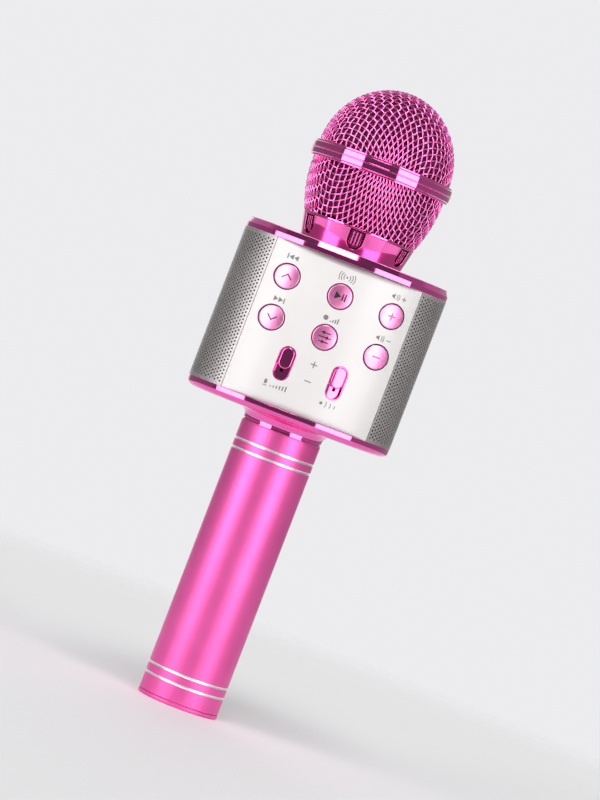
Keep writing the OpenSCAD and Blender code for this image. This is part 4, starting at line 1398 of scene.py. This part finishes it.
def neck():
    skin = Skin()
    for k in range(clip_count):
        skin.place = turned(clip_turn + 360 * k / clip_count)
        neck_sector(skin)
    skin.place = turned(clip_turn)
    floor_z = box_top + 2.3
    # the bore, the floor with its wire hole and the foot, as (radius, z)
    path = [(neck_bore_r, neck_top), (neck_bore_r, floor_z), (wire_bore_r, floor_z), (wire_bore_r, box_top),
            (neck_bottom_r, box_top)]
    steps = 72
    turns = [2 * math.pi * k / steps for k in range(steps)]
    for a, b in zip(path, path[1:]):
        way = Vector(b) - Vector(a)
        out = Vector((way.y, -way.x)).normalized()
        for t0, t1 in zip(turns, turns[1:] + turns[:1]):
            ids, ways = [], []
            for (r, z), t in ((a, t0), (b, t0), (b, t1), (a, t1)):
                ids.append(skin.point((r * math.sin(t), -r * math.cos(t), z)))
                ways.append(Vector((math.sin(t) * out.x, -math.cos(t) * out.x, out.y)))
            skin.face(ids, ways)
    return finish_piece(skin.build("neck_collar", [chrome_pink, pocket_painted_shade]), "housing", "chrome_pink",
                        "neck_ring")


def neck_clips():
    bottom = box_top + 2.2
    top = neck_top - 0.4
    rib_w = 0.5
    rib_spots = (-1.3, 0, 1.3)
    face_r = 20.2
    skin = Skin()
    for k in range(clip_count):
        skin.place = turned(clip_turn + 360 * k / clip_count)
        tongue = u_loop(clip_w, bottom, top)
        plate(skin, tongue, [], Barrel(face_r), Flat(-clip_seat - 0.05), lip=0.15, step=1.2)
        for x in rib_spots:
            foot = bottom + clip_w / 2 - math.sqrt((clip_w / 2) ** 2 - x * x) + 0.5
            rib = loop_round(x, (foot + top - 0.3) / 2, rib_w, top - 0.3 - foot, rib_w / 2 - 0.01, 4)
            plate(skin, rib, [], NeckCone(0.2), Barrel(face_r - 0.1), lip=0.12, step=1.0)
    return finish_piece(skin.build("neck_spring_clips", [chrome_pink]), "housing", "chrome_pink",
                        "neck_clips")


neck()
neck_clips()

# ---------- head ----------


def thread_ring():
    r = neck_bore_r - 0.06
    bore = 15.8
    rest_z = neck_top + 0.05
    corners = on_circles((bore, thread_low.z, 0), (r, thread_low.z, 0.3), (r, rest_z, 0),
                         (lip_r, rest_z, 0.2), (lip_r, lip_top, 0.15), (bore, lip_top, 0))
    return swept_piece(corners, ROUND_STEPS, "grille_screw_ring", [chrome_pink], "grille_head", "chrome_pink",
                       "grille_thread_ring")


def band():
    inner = grille_r - 1.2
    mid = (band_bottom + band_top) / 2
    lip = band_r - 0.75
    face = band_r - 0.28
    shoulder = band_r - 0.36
    bead = 0.28
    lip_h = 0.65
    slope_end = 1.0
    corners = on_circles(
        (inner, band_bottom, 0), (lip, band_bottom, 0.25), (lip, band_bottom + lip_h, 0.1),
        (shoulder, band_bottom + slope_end, 0.2), (face, mid - bead, 0.08), (band_r, mid - bead * 0.5, 0.12),
        (band_r, mid + bead * 0.5, 0.12), (face, mid + bead, 0.08), (shoulder, band_top - slope_end, 0.2),
        (lip, band_top - lip_h, 0.1), (lip, band_top, 0.25), (inner, band_top, 0))
    return swept_piece(corners, ROUND_STEPS, "grille_band_ring", [chrome_pink], "grille_head", "chrome_pink",
                       "grille_band")


thread_ring()
band()

dome_h = dome_top - band_top


def dome_r(z):
    """Outer radius of the dome at a height; below the band's top it stays straight."""
    return grille_r * math.sqrt(max(0, 1 - (max(0, z - band_top) / dome_h) ** 2))


BOWL_WIDEST = band_bottom - 1.9
BOWL_DEPTH = 39.6
BOWL_POWER = 1.8


def bowl_r(z):
    """Outer radius of the lower bowl at a height; it would close far below the neck."""
    share = max(0, BOWL_WIDEST - z) / BOWL_DEPTH
    return grille_r * max(0, 1 - share ** BOWL_POWER) ** (1 / BOWL_POWER)


class Crown:
    """A turned surface measured by distance from its crown, for laying woven wire on it."""

    def __init__(self, radius, crown_z, way, reach, inset):
        self.way = way
        fine = 3000
        points = []
        for k in range(fine + 1):
            h = reach * (1 - math.cos(math.pi / 2 * k / fine))
            z = crown_z + way * h
            points.append(Vector((radius(z), z)))
        normals = []
        for k, p in enumerate(points):
            tangent = points[min(k + 1, fine)] - points[max(k - 1, 0)]
            normals.append(Vector((-tangent.y * -way, tangent.x * -way)).normalized())
        normals[0] = Vector((0, -way))
        rows = [p - n * inset for p, n in zip(points, normals)]
        rows[0].x = 0
        self.rows, self.normals, self.lengths = rows, normals, [0.0]
        for a, b in zip(rows, rows[1:]):
            self.lengths.append(self.lengths[-1] + (b - a).length)

    def length_at(self, z):
        return next(l for l, p in zip(self.lengths, self.rows) if (p.y - z) * self.way >= 0)

    def at(self, length, turn):
        low, t = place_along(self.lengths, length)
        p = self.rows[low].lerp(self.rows[low + 1], t)
        n = self.normals[low].lerp(self.normals[low + 1], t)
        c, s = math.cos(turn), math.sin(turn)
        return Vector((p.x * c, p.x * s, p.y)), Vector((n.x * c, n.x * s, n.y)).normalized()


def drawn_net(crown, pitch, end_length, first_axis):
    """Crossing points of a square wire mesh drawn over a turned surface, for one quarter of it.

    Every link keeps its length, so the squares shear into diamonds away from the two axes. The result
    maps (i, j) to (length, turn), with i along the first axis and j along the second, 90 degrees on.
    """
    net = {(0, 0): (0.0, first_axis)}
    second_axis = first_axis + math.pi / 2
    along = [0.0]
    while along[-1] < end_length + 2 * pitch:
        length = along[-1] + pitch
        for _ in range(4):
            gap = (crown.at(length, 0)[0] - crown.at(along[-1], 0)[0]).length
            length += pitch - gap
        along.append(length)
    count = len(along)
    for k in range(1, count):
        net[k, 0] = (along[k], first_axis)
        net[0, k] = (along[k], second_axis)

    def miss(spot, a, b):
        p = crown.at(*spot)[0]
        return (p - a).length - pitch, (p - b).length - pitch

    for i in range(1, count):
        for j in range(1, count):
            if (i - 1, j) not in net or (i, j - 1) not in net or (i - 1, j - 1) not in net:
                continue
            if net[i - 1, j - 1][0] > end_length:
                continue
            a, b, old = (crown.at(*net[key])[0] for key in ((i - 1, j), (i, j - 1), (i - 1, j - 1)))
            guess = a + b - old
            turn = math.atan2(guess.y, guess.x)
            length = max(net[i - 1, j][0], net[i, j - 1][0]) + pitch * 0.5
            for _ in range(12):
                e0, e1 = miss((length, turn), a, b)
                step = 1e-4
                l0, l1 = miss((length + step, turn), a, b)
                t0, t1 = miss((length, turn + step), a, b)
                j00, j01, j10, j11 = (l0 - e0) / step, (t0 - e0) / step, (l1 - e1) / step, (t1 - e1) / step
                det = j00 * j11 - j01 * j10
                if abs(det) < 1e-9:
                    break
                length -= max(-1, min(1, (e0 * j11 - e1 * j01) / det))
                turn -= max(-0.2, min(0.2, (e1 * j00 - e0 * j10) / det))
            if max(map(abs, miss((length, turn), a, b))) < 0.02 and length > net[i - 1, j - 1][0]:
                net[i, j] = (length, turn)
    return net


WIRE_R = 0.32
WEAVE = 0.3
# how far the wires stray from the drawn net, and how quickly that changes
DRIFT = 0.22
DRIFT_SCALE = 0.09
WIRE_SIDES = 8
WIRE_STEPS = 4
# noise vectors start from a random offset unless they are given a seed
DRIFT_SEED = 11
noise.seed_set(DRIFT_SEED)


def woven_grille(name, node, crown, pitch, start_z, end_z, first_axis, seed):
    """Wires over and under each other, swept as tubes along a drawn net and kept between two heights."""
    start_length, end_length = crown.length_at(start_z), crown.length_at(end_z)
    net = drawn_net(crown, pitch, end_length + pitch, first_axis)
    whole = {}
    for (i, j), (length, turn) in net.items():
        spots = ((i, j), (-j, i), (-i, -j), (j, -i))
        for quarter, key in enumerate(spots):
            whole[key] = (length, turn + quarter * math.pi / 2)
    reach = max(max(abs(i), abs(j)) for i, j in whole)
    skin_points, faces = [], []

    def node_at(key):
        length, turn = whole[key]
        co, normal = crown.at(length, turn)
        drift = noise.noise_vector(co * DRIFT_SCALE + Vector((seed, 0, 0))) * DRIFT
        drift -= normal * drift.dot(normal)
        return co + drift, normal, length

    nodes = {key: node_at(key) for key in whole}
    for family in (0, 1):
        for fixed in range(-reach, reach + 1):
            keys = []
            for run in range(-reach, reach + 1):
                key = (run, fixed) if family == 0 else (fixed, run)
                if key in nodes:
                    keys.append(key)
            runs, current = [], []
            for a in keys:
                if current and (a[0] - current[-1][0]) + (a[1] - current[-1][1]) != 1:
                    runs.append(current)
                    current = []
                current.append(a)
            runs.append(current)
            for run in runs:
                sweep_wire(run, nodes, family, start_length, end_length, skin_points, faces)
    obj = mesh_object(name, skin_points, faces, [wire_pink])
    return finish_piece(obj, "grille_head", "wire_pink", node)


def between(a, b, c, d, t):
    """A smooth curve's point from b (t = 0) to c (t = 1), with a and d beyond them."""
    square = (2 * a - 5 * b + 4 * c - d) * t * t
    cube = (3 * b - a - 3 * c + d) * t ** 3
    return 0.5 * (2 * b + (c - a) * t + square + cube)


def sweep_wire(run, nodes, family, start_length, end_length, points, faces):
    """One wire through its crossing points, over and under in turn, kept only between its ends."""
    if len(run) < 3:
        return
    samples = []
    for k in range(len(run) - 1):
        p0, p1, p2, p3 = (nodes[run[max(0, min(len(run) - 1, k + d))]] for d in (-1, 0, 1, 2))
        side = 1 if (run[k][0] + run[k][1] + family) % 2 == 0 else -1
        for step in range(WIRE_STEPS):
            t = step / WIRE_STEPS
            centre, normal = (between(p0[k], p1[k], p2[k], p3[k], t) for k in (0, 1))
            normal = normal.normalized()
            offset = side * WEAVE * math.cos(math.pi * t)
            samples.append((centre + normal * offset, normal, p1[2] + (p2[2] - p1[2]) * t))
    stretch = []
    for k, sample in enumerate(samples):
        if start_length <= sample[2] <= end_length:
            if not stretch and k > 0:
                stretch.append(cut(samples[k - 1], sample, start_length, end_length))
            stretch.append(sample)
        elif stretch:
            stretch.append(cut(sample, stretch[-1], start_length, end_length))
            tube(stretch, points, faces)
            stretch = []
    if stretch:
        tube(stretch, points, faces)


def cut(outside, inside, start_length, end_length):
    """The point between two samples where the wire crosses an end."""
    edge = end_length if outside[2] > end_length else start_length
    t = (edge - inside[2]) / (outside[2] - inside[2])
    return (inside[0].lerp(outside[0], t), inside[1].lerp(outside[1], t).normalized(), edge)


def tube(stretch, points, faces):
    first = len(points)
    count = len(stretch)
    if count < 3:
        return
    for k, (co, normal, _) in enumerate(stretch):
        tangent = (stretch[min(k + 1, count - 1)][0] - stretch[max(k - 1, 0)][0]).normalized()
        side = tangent.cross(normal).normalized()
        up = side.cross(tangent)
        for m in range(WIRE_SIDES):
            a = 2 * math.pi * (m + 0.5) / WIRE_SIDES
            points.append(co + (side * math.cos(a) + up * math.sin(a)) * WIRE_R)
    for k in range(count - 1):
        here = first + k * WIRE_SIDES
        for m in range(WIRE_SIDES):
            n = (m + 1) % WIRE_SIDES
            faces.append((here + m, here + n, here + WIRE_SIDES + n, here + WIRE_SIDES + m))
    faces.append([first + m for m in range(WIRE_SIDES - 1, -1, -1)])
    faces.append([first + (count - 1) * WIRE_SIDES + m for m in range(WIRE_SIDES)])


wire_inset = WIRE_R + WEAVE + 0.02
mesh_pitch = 2.5
quarter_axis = math.radians(-90 - 45)
dome_crown = Crown(dome_r, dome_top, -1, dome_top - band_top + 3, wire_inset)
bowl_tip = BOWL_WIDEST - BOWL_DEPTH
bowl_crown = Crown(bowl_r, bowl_tip, 1, band_bottom + 3 - bowl_tip, wire_inset)
woven_grille("dome_wire_weave", "upper_grille", dome_crown, mesh_pitch, dome_top, band_top - 0.5,
             quarter_axis + math.radians(1.5), 3.0)
woven_grille("bowl_wire_weave", "lower_grille", bowl_crown, mesh_pitch, lip_top - 0.3, band_bottom + 0.5,
             quarter_axis + math.radians(2.5), 9.0)

# ---------- foam windscreen ----------


def foam_liner():
    """The foam behind the wires: a soft closed shell with a slightly uneven face."""
    outer, inner = 1.7, 4.6
    low = lip_top + 1
    steps = 14
    lump_h, lump_scale = 0.12, 0.35

    def shell(inset):
        heights = [low + (band_bottom - low) * k / steps for k in range(steps + 1)]
        bowl = [(bowl_r(z) - inset, z) for z in heights]
        dome = []
        for k in range(steps + 1):
            h = dome_h * math.sin(math.pi / 2 * k / steps)
            scale = (grille_r - inset) / grille_r
            dome.append((dome_r(band_top + h) * scale, band_top + h * (dome_h - inset) / dome_h))
        return bowl + dome

    outside, inside = shell(outer), shell(inner)
    corners = on_circles(*((r, z, "smooth") for r, z in outside[:-1]), (0, outside[-1][1], 0),
                         (0, inside[-1][1], 0), *((r, z, "smooth") for r, z in inside[-2::-1]))
    corners[0] = (*corners[0][:3], 0)
    corners[-1] = (*corners[-1][:3], 0)
    skin = Skin()
    sweep(skin, corners, 96)
    for k, p in enumerate(skin.points):
        push = noise.noise(p * lump_scale) * lump_h
        skin.points[k] = p - Vector((p.x, p.y, 0)).normalized() * abs(push)
    piece = finish_piece(skin.build("foam_windscreen_liner", [foam]), "head_travel", "foam",
                         "foam_windscreen")
    return piece


foam_liner()

# ---------- stage ----------

FLOOR_FADE = (0.42, 0.62)


def stage_floor():
    """A pale floor disc that fades out into the background."""
    radius = 1.2
    rings, steps = 24, 96
    skin = Skin()
    for i in range(rings):
        for j in range(steps):
            ids = []
            for a, b in ((i, j), (i + 1, j), (i + 1, j + 1), (i, j + 1)):
                r, t = radius * (a / rings) ** 1.5 / MM, 2 * math.pi * (b % steps) / steps
                ids.append(skin.point((r * math.cos(t), r * math.sin(t), -0.02)))
            skin.face(ids, Vector((0, 0, 1)))
    m = Nodes("studio_floor")
    m.set(Base_Color=(0.84, 0.84, 0.85), Roughness=0.7)
    distance = m.add("ShaderNodeVectorMath", {0: m.space}, operation="LENGTH").outputs["Value"]
    sockets = {"Value": distance, "From Min": FLOOR_FADE[0], "From Max": FLOOR_FADE[1], "To Min": 1.0,
               "To Max": 0.0}
    fade = m.add("ShaderNodeMapRange", sockets, interpolation_type="SMOOTHSTEP")
    m.link(fade.outputs[0], "Alpha")
    obj = skin.build("studio_floor", [m.material])


# Softboxes: azimuth of the middle and half width in degrees
SOFTBOXES = ((-54.5, 18.0), (38.25, 17.75))
# their bright part, and the dimmer part that reaches further: lowest and highest elevation, and brightness
BOX_LEVELS = ((-20, 30, 3.9), (-48, 42, 1.5))
# The light overhead: its sides from the middle towards +X and towards the front, as slopes from upright
OVERHEAD = ((-0.335, 0.115), (0.3, 0.95))
OVERHEAD_LEVEL = 7.5
# The walls: their levels, and the azimuths between which the front goes over into the left and right ones
FRONT_LEVEL = 0.12
LEFT_LEVEL = 0.22
LEFT_EDGE = (-80.0, -74.0)
RIGHT_LEVEL = 0.28
RIGHT_EDGE = (54.0, 60.0)
# A pale floor and a pale wall behind the microphone: where each fades in, and its level
FLOOR_EDGE = (-15.5, -11.5)
FLOOR_LEVEL = 0.95
REAR_EDGE = (148.0, 160.0)
REAR_LEVEL = 0.9
# A dim glow above the horizon: the elevations where it fades in and out, and its level
GLOW_START = (10.0, 16.0)
GLOW_END = (38.0, 50.0)
GLOW_LEVEL = 0.4
BACKDROP = (0.84, 0.84, 0.86)
# how soft the lights' edges are: the softboxes' sides and ends in degrees, the overhead's as slopes
SIDE_SOFT, END_SOFT = 0.7, 2.0
ACROSS_SOFT, ALONG_SOFT = 0.01, 0.03


def studio_world():
    """A dark studio with upright softboxes, a pale back and floor, and a plain backdrop for the camera."""
    world = bpy.data.worlds.new("studio")
    bpy.context.scene.world = world
    world.use_nodes = True
    tree = world.node_tree
    tree.nodes.clear()

    def add(kind, links=(), **values):
        return add_node(tree, kind, links, **values)

    def maths(operation, a, b=0.0):
        return add("ShaderNodeMath", {0: a, 1: b}, operation=operation).outputs[0]

    def soft_step(value, low, high, start=0.0, end=1.0):
        node = add("ShaderNodeMapRange", {"Value": value, "From Min": low, "From Max": high,
                                          "To Min": start, "To Max": end}, interpolation_type="SMOOTHSTEP")
        return node.outputs[0]

    way = add("ShaderNodeTexCoord").outputs["Generated"]
    parts = add("ShaderNodeSeparateXYZ", {0: way})
    x, y, z = (parts.outputs[k] for k in range(3))
    azimuth = maths("DEGREES", maths("ARCTAN2", x, maths("MULTIPLY", y, -1.0)))
    elevation = maths("DEGREES", maths("ARCSINE", z))
    sides = maths("MAXIMUM", soft_step(azimuth, *LEFT_EDGE, LEFT_LEVEL, FRONT_LEVEL),
                  soft_step(azimuth, *RIGHT_EDGE, 0.0, RIGHT_LEVEL))
    level = maths("MAXIMUM", sides, soft_step(elevation, *FLOOR_EDGE, FLOOR_LEVEL, 0.0))
    level = maths("MAXIMUM", level, soft_step(maths("ABSOLUTE", azimuth), *REAR_EDGE, 0.0, REAR_LEVEL))
    glow = maths("MULTIPLY", soft_step(elevation, *GLOW_START, 0.0, GLOW_LEVEL),
                 soft_step(elevation, *GLOW_END, 1.0, 0.0))
    level = maths("MAXIMUM", level, glow)

    def within(value, low, high, soft):
        return maths("MULTIPLY", soft_step(value, low - soft, low + soft),
                     soft_step(value, high - soft, high + soft, 1.0, 0.0))

    for middle, half in SOFTBOXES:
        side = within(azimuth, middle - half, middle + half, SIDE_SOFT)
        for low, high, bright in BOX_LEVELS:
            shape = maths("MULTIPLY", side, within(elevation, low, high, END_SOFT))
            level = maths("MAXIMUM", level, maths("MULTIPLY", shape, bright))
    up = maths("MAXIMUM", z, 0.001)
    across = within(maths("DIVIDE", x, up), *OVERHEAD[0], ACROSS_SOFT)
    along = within(maths("DIVIDE", maths("MULTIPLY", y, -1.0), up), *OVERHEAD[1], ALONG_SOFT)
    level = maths("MAXIMUM", level, maths("MULTIPLY", maths("MULTIPLY", across, along), OVERHEAD_LEVEL))
    studio = add("ShaderNodeBackground", {"Color": (1, 1, 1, 1), "Strength": level})
    backdrop = add("ShaderNodeBackground", {"Color": (*BACKDROP, 1), "Strength": 1.0})
    seen = add("ShaderNodeLightPath").outputs["Is Camera Ray"]
    mix = add("ShaderNodeMixShader", {0: seen, 1: studio.outputs[0], 2: backdrop.outputs[0]})
    out = add("ShaderNodeOutputWorld")
    tree.links.new(mix.outputs[0], out.inputs[0])


def main_camera():
    azimuth, roll = math.radians(-4.5), math.radians(21.0)
    distance, height = 1.43, 0.1417
    aim = Vector((0.0022, 0, 0.1251))
    data = bpy.data.cameras.new("main_camera")
    data.sensor_width = 36
    data.lens = 169
    data.clip_start = 0.05
    data.dof.use_dof = False
    camera = bpy.data.objects.new("main_camera", data)
    camera.location = (math.sin(azimuth) * distance, -math.cos(azimuth) * distance, height)
    look = (aim - camera.location).to_track_quat("-Z", "Y")
    camera.rotation_mode = "QUATERNION"
    camera.rotation_quaternion = look @ Matrix.Rotation(roll, 4, "Z").to_quaternion()
    bpy.context.scene.collection.objects.link(camera)
    bpy.context.scene.camera = camera


stage_floor()
studio_world()
main_camera()
bpy.context.scene.view_settings.view_transform = "Standard"
